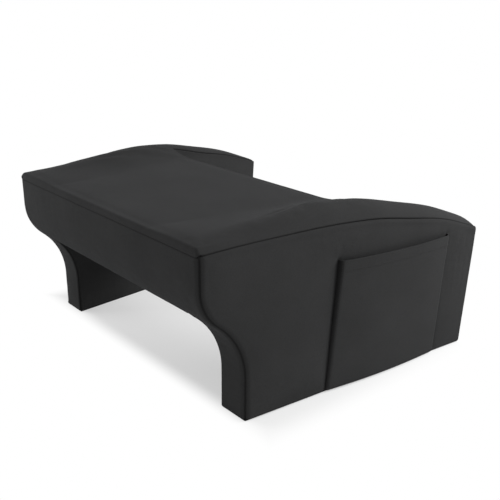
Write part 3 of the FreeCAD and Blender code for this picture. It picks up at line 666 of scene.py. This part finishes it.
def topPanel():
    across = (topSize["bedRun"], False, False), (topSize["flankRun"], False, False), (topSize["armRun"], True, True)
    seg, share, breaks = gridLines(topSize["step"], *across)
    seg[breaks[2]], share[breaks[2]] = 2, 0.0  # the crest belongs to the arm
    rollLength = (tray["rollDepth"] + tray["rollRise"] + tray["lip"]) * topSize["rollShare"]
    bedLength = rollLength + bedDepth - tray["rollDepth"]
    lengthways = (bedLength, True, True), (topSize["rearRun"], False, True)
    rowSeg, rowShare, rowBreaks = gridLines(topSize["step"], *lengthways)
    _, endZ = halfSection(tray["armEnd"], seg, share)
    inBed = np.select([seg == 0, seg == 1], [np.ones_like(share), (1 - share) ** 2], 0)
    points = np.zeros((len(rowSeg), 2 * len(seg) - 1, 3))
    for i, (part, along) in enumerate(zip(rowSeg, rowShare)):
        q = along * bedLength
        angle = min(q / rollLength, 1) * math.pi / 2
        if part == 1:
            y = bedDepth + along * (rearY(endZ) - bedDepth)
        elif q < rollLength:
            y = np.full(len(seg), tray["rollDepth"] * (1 - math.cos(angle)))
        else:
            y = np.full(len(seg), tray["rollDepth"] + q - rollLength)
        x, z = halfSection(float(y[-1]), seg, share)
        if part == 0:
            x, z = softened(x, z, 1 - np.clip((y[0] - topSize["softUntil"]) / topSize["softFade"], 0, 1))
            # near the front the arm is level with the bed and rolls over at its outer edge
            level, seam = math.exp(-(y[0] / tray["cornerReach"]) ** 2), float(through(armSeam, y[0]))
            over = np.cos(np.clip(1 - (outerX(y[0]) - x) / tray["cornerRoll"], 0, 1) * math.pi / 2)
            z = z + level * (seam + (tray["height"] - seam) * over - z)
            z = z + inBed * tray["lip"] * math.exp(-max(y[0] - tray["rollDepth"], 0) / tray["lipReach"])
            z = z + (1 - inBed) * (tray["cornerLip"] + tray["cornerClimb"] * y[0]) * level * over
            z = frontSeam + (z - frontSeam) * math.sin(angle)
        half = stacked(x, y, z)
        points[i] = np.concatenate((half[:0:-1] * (-1, 1, 1), half))
    # round the corners in plan, as the upright edges under them are
    rounding = tray["cornerRound"]
    toSide = np.abs(points[..., 0]) - outerX(points[..., 1]) + rounding
    toFront = rounding - points[..., 1]
    pull = np.minimum(rounding / np.maximum(np.hypot(toSide, toFront), 1e-6), 1)
    pull = np.where((toSide > 0) & (toFront > 0), pull, 1)
    points[..., 0] -= np.sign(points[..., 0]) * toSide * (1 - pull)
    points[..., 1] += toFront * (1 - pull)
    middle, crest = len(seg) - 1, breaks[2]
    left, right, bedRow, lastRow = middle - crest, middle + crest, rowBreaks[1], len(rowSeg) - 1
    lastColumn = points.shape[1] - 1
    panel = Panel("top", points, (0, 0, 1), np.s_[bedRow:, left:right])
    endRight, endLeft = row(lastRow, range(right, lastColumn + 1)), row(lastRow, range(0, left + 1))
    armRows = range(bedRow, lastRow + 1)
    inner = column(left, reversed(armRows)) + row(bedRow, range(left + 1, right)) + column(right, armRows)
    panel.rims(("front", "first", plainSeam), ("outerRight", "high", topCrown), ("outerLeft", "low", topCrown),
               ("endRight", endRight, endEdge), ("endLeft", endLeft, endEdge), ("inner", inner, deckEdge))
    panel.swell(topSize["cap"])
    return panel


sideSize = dict(step=4.5, cap=4.5, alongRun=655, upRun=320, beyond=12, fitRounds=6)
# shadeFoot to shadeRear: widths of the shade painted along the pocket's seams
pocket = dict(
    step=4.5, start=267.7, lean=17.5, length=285.8, leanRear=12.7, foot=4, mouth=258, mouthRear=255, archFoot=7,
    archMouth=8, wallFoot=5, wallMouth=9.5, wallWidth=8, bottomTurn=4, bottomLift=2.2, sewnIn=0.8, sewnReach=2,
    hem=20, cloth=1.8, sag=1.5, sagPower=0.7, cap=2.0, pressure=2.0, draw=2.2, drawRear=1.2, drawWidth=6, pinned=8,
    shadeFoot=4, shadeMouth=8, shadeStart=0.8, shadeBeside=0.2, shadeRear=2.5, pucker=0.35,
    floorRows=4, turnRows=6, measureRow=40, nearCount=4, nearSoft=0.5,
)
sideAlong = np.array((math.sin(math.radians(tray["splay"])), math.cos(math.radians(tray["splay"])), 0))
sideOut = np.array((sideAlong[1], -sideAlong[0], 0))
sideCorner = np.array((tray["frontHalf"], 0, 0))


def onSide(s, z, proud):
    # a point of the right side: s along it, z up, proud of its plane
    s, z, proud = np.broadcast_arrays(np.asarray(s, float), z, proud)
    return sideCorner + s[..., None] * sideAlong + proud[..., None] * sideOut + z[..., None] * (0, 0, 1)


def pocketRise(z):
    return (z - pocket["foot"]) / (pocket["mouth"] - pocket["foot"])


def pocketEdge(z):
    # where the pocket's front seam lies at a height
    return pocket["start"] + pocket["lean"] * pocketRise(z)


def pocketWidth(z):
    return pocket["length"] + (pocket["leanRear"] - pocket["lean"]) * pocketRise(z)


def pocketShade(z):
    # half the width of the painted shade along the pocket's front seam
    return pocket["shadeFoot"] + (pocket["shadeMouth"] - pocket["shadeFoot"]) * np.clip(pocketRise(z), 0, 1)


def seamHeight(y):
    # the side's top seam, dropping round the rolled front
    lift = np.sqrt(1 - (1 - np.clip(y / tray["rollDepth"], 0, 1)) ** 2)
    return frontSeam + (through(armSeam, y) - frontSeam) * lift


def sidePanel(pocketed):
    share, rise = evenGrid(sideSize["step"], sideSize["alongRun"], sideSize["upRun"])
    topY = share * float(sideSize["alongRun"])
    for _ in range(sideSize["fitRounds"]):  # the rear edge leans, so its depth follows the seam's height
        topY = share * rearY(seamHeight(topY))
    z = rise[None, :] * seamHeight(topY)[:, None]
    y = frontY(z) + share[:, None] * (rearY(z) - frontY(z))
    points = stacked(outerX(y), y, z)
    panel = Panel("side", points, (1, 0, 0), flat=points[..., [1, 2]])
    swept = dict(bodyEdge, beyond=sideSize["beyond"])
    panel.rims(("front", "first", swept), ("top", "high", sideCrown), ("rear", "last", frontEdge),
               ("foot", "low", floorEdge))
    pins = None
    if pocketed:
        s = (points - sideCorner) @ sideAlong
        ahead, behind = np.abs(s - pocketEdge(z)), np.abs(s - pocketEdge(z) - pocketWidth(z))
        above = np.clip(z - pocket["mouth"], 0, None)
        away = np.hypot(np.minimum(ahead, behind), above)
        draw = np.where(ahead < behind, pocket["draw"], pocket["drawRear"])
        panel.shift -= panel.normal * (draw * np.exp(-(away / pocket["drawWidth"]) ** 2))[..., None]
        # painted shade on the side beside the pocket's front and rear seams
        shadeFront = np.hypot(ahead, above) / pocketShade(z) + pocket["shadeBeside"]
        shadeRear = np.hypot(behind, above) / pocket["shadeRear"]
        panel.seam = np.minimum(panel.seam, np.clip(np.minimum(shadeFront, shadeRear), 0, 1))
        pins = away < pocket["pinned"]
    panel.swell(sideSize["cap"], pins=pins)
    return panel


innerSize = dict(step=5.0, cap=4.0, underRun=285, rearRun=275, lowRun=194, armRun=130)


def innerPanel():
    lengthways = (innerSize["underRun"], True, False), (innerSize["rearRun"], True, True)
    seg, share, breaks = gridLines(innerSize["step"], *lengthways)
    upwards = (innerSize["lowRun"], True, True), (innerSize["armRun"], False, True)
    upSeg, upShare, upBreaks = gridLines(innerSize["step"], *upwards)
    seg, share = seg[:, None], share[:, None]
    low = tray["underside"]
    crest = through(armCrest, spread(seg, share, 0, bedDepth, tray["armEnd"]))
    z = spread(upSeg, upShare, 0, low, crest)
    y = spread(seg, share, frontY(np.minimum(z, low)), bedDepth, rearY(z))
    points = stacked(innerX(y), y, z)
    lastI, lastJ = points.shape[0] - 1, points.shape[1] - 1
    panel = Panel("inner", points, (-1, 0, 0), np.s_[:breaks[1], upBreaks[1]:], flat=points[..., [1, 2]])
    legFront, armTop = row(0, range(upBreaks[1] + 1)), column(lastJ, range(breaks[1], lastI + 1))
    corner = column(upBreaks[1], range(breaks[1] + 1)) + row(breaks[1], range(upBreaks[1] + 1, lastJ + 1))
    panel.rims(("front", legFront, frontEdge), ("foot", "low", floorEdge), ("rear", "last", frontEdge),
               ("top", armTop, deckEdge), ("tray", corner, insideSeam))
    panel.swell(innerSize["cap"])
    return panel


endSize = dict(step=5.0, cap=3.0, acrossRun=67, upRun=255)


def armEndPanel():
    share, rise = evenGrid(endSize["step"], endSize["acrossRun"], endSize["upRun"])
    _, top = halfSection(tray["armEnd"], np.full(len(share), 2), 1 - share)
    z = rise[None, :] * top[:, None]
    y = rearY(z)
    points = stacked(outerX(y) - share[:, None] * tray["sideThick"], y, z)
    panel = Panel("armEnd", points, (0, 1, 0), flat=points[..., [0, 2]])
    panel.rims(("outer", "first", frontEdge), ("inner", "last", frontEdge), ("top", "high", endEdge),
               ("foot", "low", floorEdge))
    panel.swell(endSize["cap"])
    return panel


frontSize = dict(step=5.0, cap=4.0, legRun=67, archRun=506)


def frontPanel():
    leg = (frontSize["legRun"], True, True)
    seg, share, breaks = gridLines(frontSize["step"], leg, (frontSize["archRun"], False, False), leg)
    lipQ = float(np.interp(-tray["underside"], -profileZ, profileQ))
    qSeg, qShare, qBreaks = gridLines(frontSize["step"], (lipQ, True, True), (profileLength - lipQ, False, True))
    q = spread(qSeg, qShare, 0, lipQ, profileLength)
    y, z = frontPath(q)
    inside, outside = innerX(y)[None, :], outerX(y)[None, :]
    x = spread(seg[:, None], share[:, None], -outside, -inside, inside, outside)
    points = stacked(x, y, z)
    lastI, lastJ = points.shape[0] - 1, points.shape[1] - 1
    panel = Panel("front", points, (0, -1, 0), np.s_[breaks[1]:breaks[2], qBreaks[1]:], flat=stacked(x, q))
    footLeft, footRight = column(lastJ, range(breaks[1] + 1)), column(lastJ, range(breaks[2], lastI + 1))
    legRows = range(qBreaks[1], lastJ + 1)
    lip = column(qBreaks[1], range(breaks[1] + 1, breaks[2]))
    arch = row(breaks[1], reversed(legRows)) + lip + row(breaks[2], legRows)
    upright = [float(frontEdge["turn"])] * len(legRows)
    archEdge = dict(frontEdge, turn=upright + [float(lipEdge["turn"])] * len(lip) + upright)
    panel.rims(("top", "low", plainSeam), ("right", "last", bodyEdge), ("left", "first", bodyEdge),
               ("footLeft", footLeft, floorEdge), ("footRight", footRight, floorEdge), ("arch", arch, archEdge))
    panel.swell(frontSize["cap"])
    return panel


rearSize = dict(step=6.0, cap=3.5, acrossRun=577, upRun=131, sectionCount=80)


def rearPanel():
    share, rise = evenGrid(rearSize["step"], rearSize["acrossRun"], rearSize["upRun"])
    x = (2 * share - 1) * innerX(bedDepth)
    count = rearSize["sectionCount"]
    section = halfSection(bedDepth, np.repeat((0, 1), count), np.tile(np.linspace(0, 1, count), 2))
    top = np.interp(np.abs(x), *section)[:, None]
    z = tray["underside"] + rise[None, :] * (top - tray["underside"])
    points = stacked(x[:, None], float(bedDepth), z)
    panel = Panel("rear", points, (0, 1, 0), flat=points[..., [0, 2]])
    panel.rims(("left", "first", insideSeam), ("right", "last", insideSeam), ("top", "high", deckEdge),
               ("foot", "low", frontEdge))
    panel.swell(rearSize["cap"])
    return panel


underSize = dict(step=6.0, cap=2.5, besideZip=45)
# zip under the tray: its depth, and lengths in mm from its middle
zipSize = dict(depth=314, half=225.7, slotHalf=15.8, inside=3.1, outside=17.0, lift=0.9, tape=0.9, coilPitch=1.5,
               coilLoop=1.25, coilWide=3.1, coilTall=1.9, coilFrom=2.25, coilLift=1.0, coilHalf=222.2,
               wave=0.12, waveLength=23, waveFrom=400, waveAcross=3, alongCount=151, acrossCount=9)


def underPanel():
    zipY, half, slot = (zipSize[k] for k in ("depth", "half", "slotHalf"))
    lipY = float(frontY(tray["underside"]))
    beside = (underSize["besideZip"], True, True)
    seg, share, breaks = gridLines(underSize["step"], beside, (2 * half, False, False), beside)
    lengthways = (zipY - slot - lipY, True, True), (2 * slot, False, False), (bedDepth - zipY - slot, True, True)
    ySeg, yShare, yBreaks = gridLines(underSize["step"], *lengthways)
    y = spread(ySeg, yShare, lipY, zipY - slot, zipY + slot, bedDepth)[None, :]
    x = spread(seg[:, None], share[:, None], -innerX(y), -half, half, innerX(y))
    points = stacked(x, y, float(tray["underside"]))
    panel = Panel("under", points, (0, 0, -1), np.s_[breaks[1]:breaks[2], yBreaks[1]:yBreaks[2]])
    slotI, slotJ = range(breaks[1], breaks[2] + 1), range(yBreaks[1], yBreaks[2] + 1)
    loop = column(yBreaks[1], slotI) + row(breaks[2], slotJ)[1:] + column(yBreaks[2], reversed(slotI))[1:]
    loop += row(breaks[1], reversed(slotJ))[1:]
    panel.rims(("front", "low", lipEdge), ("rear", "high", frontEdge), ("left", "first", insideSeam),
               ("right", "last", insideSeam), ("slot", loop, slotEdge))
    panel.swell(underSize["cap"])
    return panel


baseSize = dict(step=6.0, acrossRun=67, alongRun=552)


def basePanel():
    share, along = evenGrid(baseSize["step"], baseSize["acrossRun"], baseSize["alongRun"])
    y = tray["legSetback"] + along * (tray["rearFoot"] - tray["legSetback"])
    x = innerX(y) + share[:, None] * tray["sideThick"]
    panel = Panel("base", stacked(x, y, 0.0), (0, 0, -1))
    panel.rims(("inner", "first", floorEdge), ("outer", "last", floorEdge), ("front", "low", floorEdge),
               ("rear", "high", floorEdge))
    return panel


def belongs(obj, body, slot, *nodes):
    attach(obj, body)
    if nodes:
        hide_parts(*nodes)


def sew(panel, name, seed, nodes, mirror=False, material=None, slot="cover_cloth"):
    obj = panel.build(name, material or coverCloth, seed, mirror)
    belongs(obj, "tray", slot, *nodes)
    print(f"  {name}: {len(obj.data.polygons)} faces")


print("sewing the panels")
top, front, rear, under = topPanel(), frontPanel(), rearPanel(), underPanel()
side, plainSide = sidePanel(True), sidePanel(False)
inner, armEnd, base = innerPanel(), armEndPanel(), basePanel()
seeds = dict(top=1, front=2, rear=3, under=4, side=5, inner=7, armEnd=9, base=11, pocket=21, zip=31)
sew(top, "topPanel", seeds["top"], ["cover_top", "tray_foam"])
sew(front, "frontPanel", seeds["front"], ["cover_front"])
sew(rear, "rearPanel", seeds["rear"], ["cover_rear"])
sew(under, "underPanel", seeds["under"], ["cover_under", "bridge_foam"])
for k, hand in enumerate(("Right", "Left")):
    word, mirror = hand.lower(), hand == "Left"
    flank, nodes = plainSide if mirror else side, [f"cover_side_{word}", f"side_foam_outer_{word}"]
    sew(flank, "sidePanel" + hand, seeds["side"] + k, nodes, mirror)
    nodes = [f"cover_inner_{word}", f"side_foam_inner_{word}"]
    sew(inner, "innerPanel" + hand, seeds["inner"] + k, nodes, mirror)
    sew(armEnd, "armEnd" + hand, seeds["armEnd"] + k, [f"cover_arm_end_{word}"], mirror)
    sew(base, "basePanel" + hand, seeds["base"] + k, [f"cover_base_{word}"], mirror, baseCloth, "base_cloth")


def settle(obj):
    # the object's modifiers become its plain mesh
    shown = obj.evaluated_get(bpy.context.evaluated_depsgraph_get())
    mesh = bpy.data.meshes.new_from_object(shown)
    mesh.name = obj.name
    obj.modifiers.clear()
    obj.data = mesh


sheetSharp = 50  # degrees


def clothSheet(panel, name, material, seed, thick):
    # one layer of cloth on a panel's grid, its thickness behind the face
    rows, columns = panel.used.shape
    number = np.arange(rows * columns).reshape(rows, columns)
    quads = np.stack((number[:-1, :-1], number[1:, :-1], number[1:, 1:], number[:-1, 1:]), axis=-1).reshape(-1, 4)
    obj = addMesh(name, place(panel.surface(seed)).reshape(-1, 3), quads[:, ::-1] if panel.flip else quads)
    dressMesh(obj.data, panel.flat.reshape(-1, 2), panel.seam.ravel(), material)
    solid = obj.modifiers.new("thickness", "SOLIDIFY")
    solid.thickness, solid.offset = thick * 0.001, -1
    settle(obj)
    obj.data.set_sharp_from_angle(angle=math.radians(sheetSharp))
    return obj


def pocketPanel(padded):
    # rows run out from the side along the floor, round the pocket's bottom and up to its mouth
    share, = evenGrid(pocket["step"], pocket["length"])
    _, rise, _ = gridLines(pocket["step"], (pocket["mouth"], False, True))
    local = (padded - sideCorner).reshape(-1, 3)
    proud = local @ sideOut
    tree = pointTree(stacked(local @ sideAlong, local[:, 2], 0))
    edge = np.minimum(share, 1 - share) * pocket["length"]
    wall = np.sqrt(1 - (1 - np.clip(edge / pocket["wallWidth"], 0, 1)) ** 2)
    arch = 4 * share * (1 - share)

    def sewn(z):
        # the padded side's face from the front seam to the rear one
        ends = []
        for start in (pocketEdge(z), pocketEdge(z) + pocketWidth(z)):
            found = tree.find_n((start, z, 0), pocket["nearCount"])
            weights = np.array([1 / (d + pocket["nearSoft"]) for _, _, d in found])
            ends.append(weights @ proud[[k for _, k, _ in found]] / weights.sum())
        return ends[0] + share * (ends[1] - ends[0]) - pocket["sewnIn"] * np.exp(-edge / pocket["sewnReach"])

    def standing(up):
        body = pocket["wallFoot"] + (pocket["wallMouth"] - pocket["wallFoot"]) * up
        return wall * body + arch * (pocket["archFoot"] + (pocket["archMouth"] - pocket["archFoot"]) * up)

    foot, lift = pocket["foot"], pocket["bottomLift"]
    ground = standing(0)
    turn = np.minimum(pocket["bottomTurn"], ground / 2)
    heights = [np.full_like(share, lift)] * pocket["floorRows"]
    depths = [sewn(foot) + (ground - turn) * k / pocket["floorRows"] for k in range(pocket["floorRows"])]
    for angle in np.linspace(0, math.pi / 2, pocket["turnRows"]):
        heights.append(lift + turn * (1 - math.cos(angle)))
        depths.append(sewn(foot) + ground - turn * (1 - math.sin(angle)))
    mouth = pocket["mouth"] + share * (pocket["mouthRear"] - pocket["mouth"])
    mouth = mouth - pocket["sag"] * np.sin(math.pi * share) ** pocket["sagPower"]
    for up in rise[1:]:
        z = lift + turn + up * (mouth - lift - turn)
        heights.append(z)
        depths.append(sewn(float(z.mean())) + standing(pocketRise(z)))
    z, depth = np.array(heights), np.array(depths)
    points = onSide(pocketEdge(z) + share * pocketWidth(z), z, depth)
    middle = points[:, len(share) // 2]
    run = lengthsAlong(middle)
    flat = stacked(share * pocket["length"], run[:, None])
    panel = Panel("pocket", points, (1, 0, 0), flat=flat)
    edges = np.broadcast_to(edge, z.shape)
    bottom = run[pocket["floorRows"] + pocket["turnRows"] - 1]
    panel.nearest = np.minimum(edges, np.clip(run - bottom, 0, None)[:, None])
    ahead = np.broadcast_to(share * pocket["length"], z.shape)
    # painted shade along the pocket's front edge, down in the dip beside the side
    panel.seam = np.clip((ahead + pocket["shadeStart"]) / pocketShade(z), 0, 1)
    panel.pucker.append((edges, z, pocket["pucker"]))
    panel.swell(pocket["cap"], pocket["pressure"], pocket["pinned"])
    wide = lengthsAlong(points[pocket["measureRow"]])[-1]
    print(f"  pocket: {wide:.0f} mm across, {run[-1]:.0f} mm up")
    return panel


pocketCloth = pocketPanel(side.surface(seeds["side"]))
pocketPiece = clothSheet(pocketCloth, "sidePocket", coverCloth, seeds["pocket"], pocket["cloth"])
belongs(pocketPiece, "tray", "cover_cloth", "side_pocket")


# seam threads, stitches and the zip's coil grow along lines
def lineTree(name, *sizes):
    tree = bpy.data.node_groups.new(name, "GeometryNodeTree")
    tree.interface.new_socket("Lines", in_out="INPUT", socket_type="NodeSocketGeometry")
    for label in sizes:
        tree.interface.new_socket(label, in_out="INPUT", socket_type="NodeSocketFloat")
    tree.interface.new_socket("Finish", in_out="INPUT", socket_type="NodeSocketMaterial")
    tree.interface.new_socket("Mesh", in_out="OUTPUT", socket_type="NodeSocketGeometry")
    bench = Bench(tree)
    given = bench.node("NodeGroupInput")
    return tree, bench, given, bench.node("GeometryNodeMeshToCurve", {}, {"Mesh": given["Lines"]})["Curve"]


def endTree(bench, given, geometry):
    real = bench.node("GeometryNodeRealizeInstances", {}, {"Geometry": geometry})["Geometry"]
    smooth = bench.node("GeometryNodeSetShadeSmooth", {}, {"Geometry": real})["Geometry"]
    done = bench.node("GeometryNodeSetMaterial", {}, {"Geometry": smooth, "Material": given["Finish"]})["Geometry"]
    bench.node("NodeGroupOutput", {}, {"Mesh": done})


cordTree, bench, given, curve = lineTree("seamCord", "Radius")
ring = bench.node("GeometryNodeCurvePrimitiveCircle", {}, {"Resolution": 7, "Radius": given["Radius"]})["Curve"]
tube = bench.node("GeometryNodeCurveToMesh", {}, {"Curve": curve, "Profile Curve": ring, "Fill Caps": True})["Mesh"]
endTree(bench, given, tube)

beadTree, bench, given, curve = lineTree("beadRow", "Pitch", "Length", "Width", "Height")
spaced = bench.node("GeometryNodeResampleCurve", {"mode": "LENGTH"}, {
    "Curve": curve, "Length": given["Pitch"]})["Curve"]
bead = bench.node("GeometryNodeMeshUVSphere", {}, {"Segments": 6, "Rings": 5, "Radius": 0.5})["Mesh"]
heading = bench.node("GeometryNodeInputTangent")["Tangent"]
facing = bench.node("FunctionNodeAlignRotationToVector", {"axis": "X"}, {"Vector": heading})["Rotation"]
size = bench.node("ShaderNodeCombineXYZ", {}, {
    "X": given["Length"], "Y": given["Width"], "Z": given["Height"]})["Vector"]
beads = bench.node("GeometryNodeInstanceOnPoints", {}, {
    "Points": spaced, "Instance": bead, "Rotation": facing, "Scale": size})["Instances"]
endTree(bench, given, beads)


def grow(name, lines, tree, material, **sizes):
    points = np.concatenate(lines)
    starts = np.cumsum([0] + [len(line) for line in lines])
    edges = [(k, k + 1) for a, b in zip(starts, starts[1:]) for k in range(int(a), int(b) - 1)]
    obj = addMesh(name, points, (), edges)
    grown = obj.modifiers.new("grow", "NODES")
    grown.node_group = tree
    for socket in tree.interface.items_tree:
        if socket.in_out == "INPUT" and socket.name in sizes:
            grown[socket.identifier] = sizes[socket.name] * 0.001
        elif socket.name == "Finish":
            grown[socket.identifier] = material
    settle(obj)
    print(f"  {name}: {len(obj.data.polygons)} faces")
    return obj


sewing = dict(cord=1.1, cornerCord=2.4, cornerFrom=6, cornerOut=0.8, pitch=4.2, stitch=3.3, thread=0.75,
              pocketIn=3.6, hemPast=1.5, tapeIn=3.2)
# a cord at the bottom of each seam: the join, darker than the cloth as painted shade
cords = [panel.rimLine(k) for panel in (top, front, rear, under) for k in panel.sewn if k != "slot"]
for mirror, flank in ((False, side), (True, plainSide)):
    cords += [panel.rimLine(k, mirror) for panel in (flank, inner, armEnd) for k in panel.sewn]
seamCord = grow("seamCord", cords, cordTree, seamCordShade, Radius=sewing["cord"])
# a thicker cord in the hollow corners between the tray and the sides, dark as painted shade there
cells, out = inner.sewn["tray"][sewing["cornerFrom"]:], sewing["cornerOut"]
hollow = place(inner.points[cells[:, 0], cells[:, 1]] + (out, -out, out))
cornerCord = grow("cornerCord", [hollow, hollow * (-1, 1, 1)], cordTree, seamCordShade, Radius=sewing["cornerCord"])
for cord in (seamCord, cornerCord):
    belongs(cord, "tray", "cover_cloth")


def stitchLine(panel, seed, cells, lift=0.15):
    # a line on the panel's face through grid cells
    cells = np.array(cells)
    spots = panel.surface(seed) + panel.normal * lift
    return place(spots[cells[:, 0], cells[:, 1]])


pocketEdges = pocketCloth.flat[0, :, 0]
inFront = int(np.abs(pocketEdges - sewing["pocketIn"]).argmin())
inRear = int(np.abs(pocketEdges - pocket["length"] + sewing["pocketIn"]).argmin())
climb = pocketCloth.flat[:, 0, 1]
hemRow = int(np.abs(climb - climb[-1] + pocket["hem"] + sewing["hemPast"]).argmin())
upRows = range(pocket["floorRows"] + pocket["turnRows"], len(climb) - 1)
stitches = [stitchLine(pocketCloth, seeds["pocket"], column(j, upRows)) for j in (inFront, inRear)]
stitches.append(stitchLine(pocketCloth, seeds["pocket"], row(hemRow, range(inFront, inRear + 1))))


def zipTape(towards, word):
    # a woven tape, slightly wavy along its length
    name, seed = "zipTape" + word, seeds["zip"] + towards
    x = np.linspace(-zipSize["half"], zipSize["half"], zipSize["alongCount"])[:, None]
    out = np.linspace(zipSize["inside"], zipSize["outside"], zipSize["acrossCount"])
    wave = ripple(x + zipSize["waveFrom"], zipSize["waveLength"], seed) * np.sin(out / zipSize["waveAcross"])
    z = tray["underside"] + zipSize["lift"] + zipSize["wave"] * wave
    points = stacked(x, zipSize["depth"] + towards * out, z)
    obj = clothSheet(Panel(name, points, (0, 0, -1)), name, tapeCloth, seed, zipSize["tape"])
    belongs(obj, "tray", "zip_tape", "zip_tape_" + word.lower())


coils = []
for towards, word in ((-1, "Front"), (1, "Rear")):
    zipTape(towards, word)
    start = -zipSize["coilHalf"] + (0 if towards < 0 else zipSize["coilPitch"] / 2)
    height, depth = tray["underside"] + zipSize["coilLift"], zipSize["depth"] + towards * zipSize["coilFrom"]
    coils.append(place([(start, depth, height), (zipSize["coilHalf"], depth, height)]))
    stitchY, stitchHalf = zipSize["slotHalf"] + sewing["tapeIn"], zipSize["half"] + sewing["tapeIn"]
    near = int(np.abs(under.points[0, :, 1] - (zipSize["depth"] + towards * stitchY)).argmin())
    beside = np.flatnonzero(np.abs(under.points[:, near, 0]) <= stitchHalf)
    stitches.append(stitchLine(under, seeds["under"], column(near, beside)))
coil = grow("zipCoil", coils, beadTree, coilNylon, Pitch=zipSize["coilPitch"], Length=zipSize["coilLoop"],
            Width=zipSize["coilWide"], Height=zipSize["coilTall"])
belongs(coil, "tray", "zip_row", "zip_row_front", "zip_row_rear")
stitchRows = grow("stitchRows", stitches, beadTree, seamThread, Pitch=sewing["pitch"], Length=sewing["stitch"],
                  Width=sewing["thread"], Height=sewing["thread"])
belongs(stitchRows, "tray", "cover_cloth")
easing = dict(flat=3, sharp=35, smooth=40)  # degrees


def eased(node, name, body, width):
    # a copy of a metal node with its edges eased
    work = bmesh.new()
    work.from_mesh(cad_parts[node].data)
    bmesh.ops.remove_doubles(work, verts=work.verts, dist=1e-6)
    bmesh.ops.dissolve_limit(work, angle_limit=math.radians(easing["flat"]), verts=work.verts, edges=work.edges)
    sharp = [e for e in work.edges if e.is_manifold and e.calc_face_angle() > math.radians(easing["sharp"])]
    bmesh.ops.bevel(work, geom=sharp, offset=width * 0.001, segments=2, affect="EDGES", clamp_overlap=True)
    mesh = bpy.data.meshes.new(name)
    work.to_mesh(mesh)
    work.free()
    mesh.polygons.foreach_set("use_smooth", [True] * len(mesh.polygons))
    mesh.set_sharp_from_angle(angle=math.radians(easing["smooth"]))
    mesh.materials.append(blackLacquer)
    belongs(addObject(name, mesh), body, "zip_metal", node)


eased("zip_slider", "zipSliderBody", "slider", 0.3)
eased("zip_pull", "zipPullTab", "pull", 0.25)
eased("zip_stops", "zipStopPair", "tray", 0.25)
inside = ((plywood, ("tray_board", "side_board_left", "side_board_right")),
          (zincSteel, ("angle_brackets_left", "angle_brackets_right", "bracket_screws")))
for finish, nodes in inside:
    for node in nodes:
        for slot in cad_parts[node].material_slots:
            slot.material = finish
print("pocket, threads, zip and inner frame done")

# floor and light
studio = dict(floor=40.0, worldLight=0.575, seeShare=0.46, shadeMiddle=0.034, shadeHalf=(0.39, 0.276),
              shadeFrom=0.9, shadeTo=1.08, lookAt=(0, 0, 0.2))
corners = [(x * studio["floor"], y * studio["floor"], 0) for x, y in ((-1, -1), (1, -1), (1, 1), (-1, 1))]
floor = addMesh("floor", corners, [(0, 1, 2, 3)])
floorMaterial, bench = newMaterial("paleFloor")
parts = bench.split(bench.body())
beside = abs(parts["X"]) / studio["shadeHalf"][0]
behind = abs(parts["Y"] - studio["shadeMiddle"]) / studio["shadeHalf"][1]
clear = bench.node("ShaderNodeMapRange", {"interpolation_type": "SMOOTHSTEP"}, {
    0: beside.larger(behind), 1: studio["shadeFrom"], 2: studio["shadeTo"], 3: studio["seeShare"], 4: 1.0})[0]
matte = bench.node("ShaderNodeBsdfDiffuse", {}, {"Color": grey(0.8)})["BSDF"]
white = bench.node("ShaderNodeEmission", {}, {"Color": grey(1.0), "Strength": 1.0})["Emission"]
mixed = bench.node("ShaderNodeMixShader", {}, {0: bench.seen() * clear, 1: matte, 2: white})["Shader"]
bench.node("ShaderNodeOutputMaterial", {}, {"Surface": mixed})
floor.data.materials.append(floorMaterial)

world = bpy.data.worlds.new("studio")
world.use_nodes = True
world.node_tree.nodes.clear()
scene.world = world
bench = Bench(world.node_tree)
strength = bench.seen() * (1 - studio["worldLight"]) + studio["worldLight"]
sky = bench.node("ShaderNodeBackground", {}, {"Color": grey(1.0), "Strength": strength})
bench.node("ShaderNodeOutputWorld", {}, {"Surface": sky["Background"]})

lamps = dict(
    key=dict(spot=(1.2, 1.4, 1.35), size=1.0, power=49),
    fill=dict(spot=(-1.15, -0.9, 0.6), size=0.9, power=9.5),
)
for name, lamp in lamps.items():
    light = bpy.data.lights.new(name, "AREA")
    light.size, light.energy = lamp["size"], lamp["power"]
    obj = addObject(name, light)
    obj.location = lamp["spot"]
    obj.rotation_euler = (Vector(studio["lookAt"]) - Vector(lamp["spot"])).to_track_quat("-Z", "Y").to_euler()
scene.view_settings.view_transform = "Standard"
print("floor and light set")
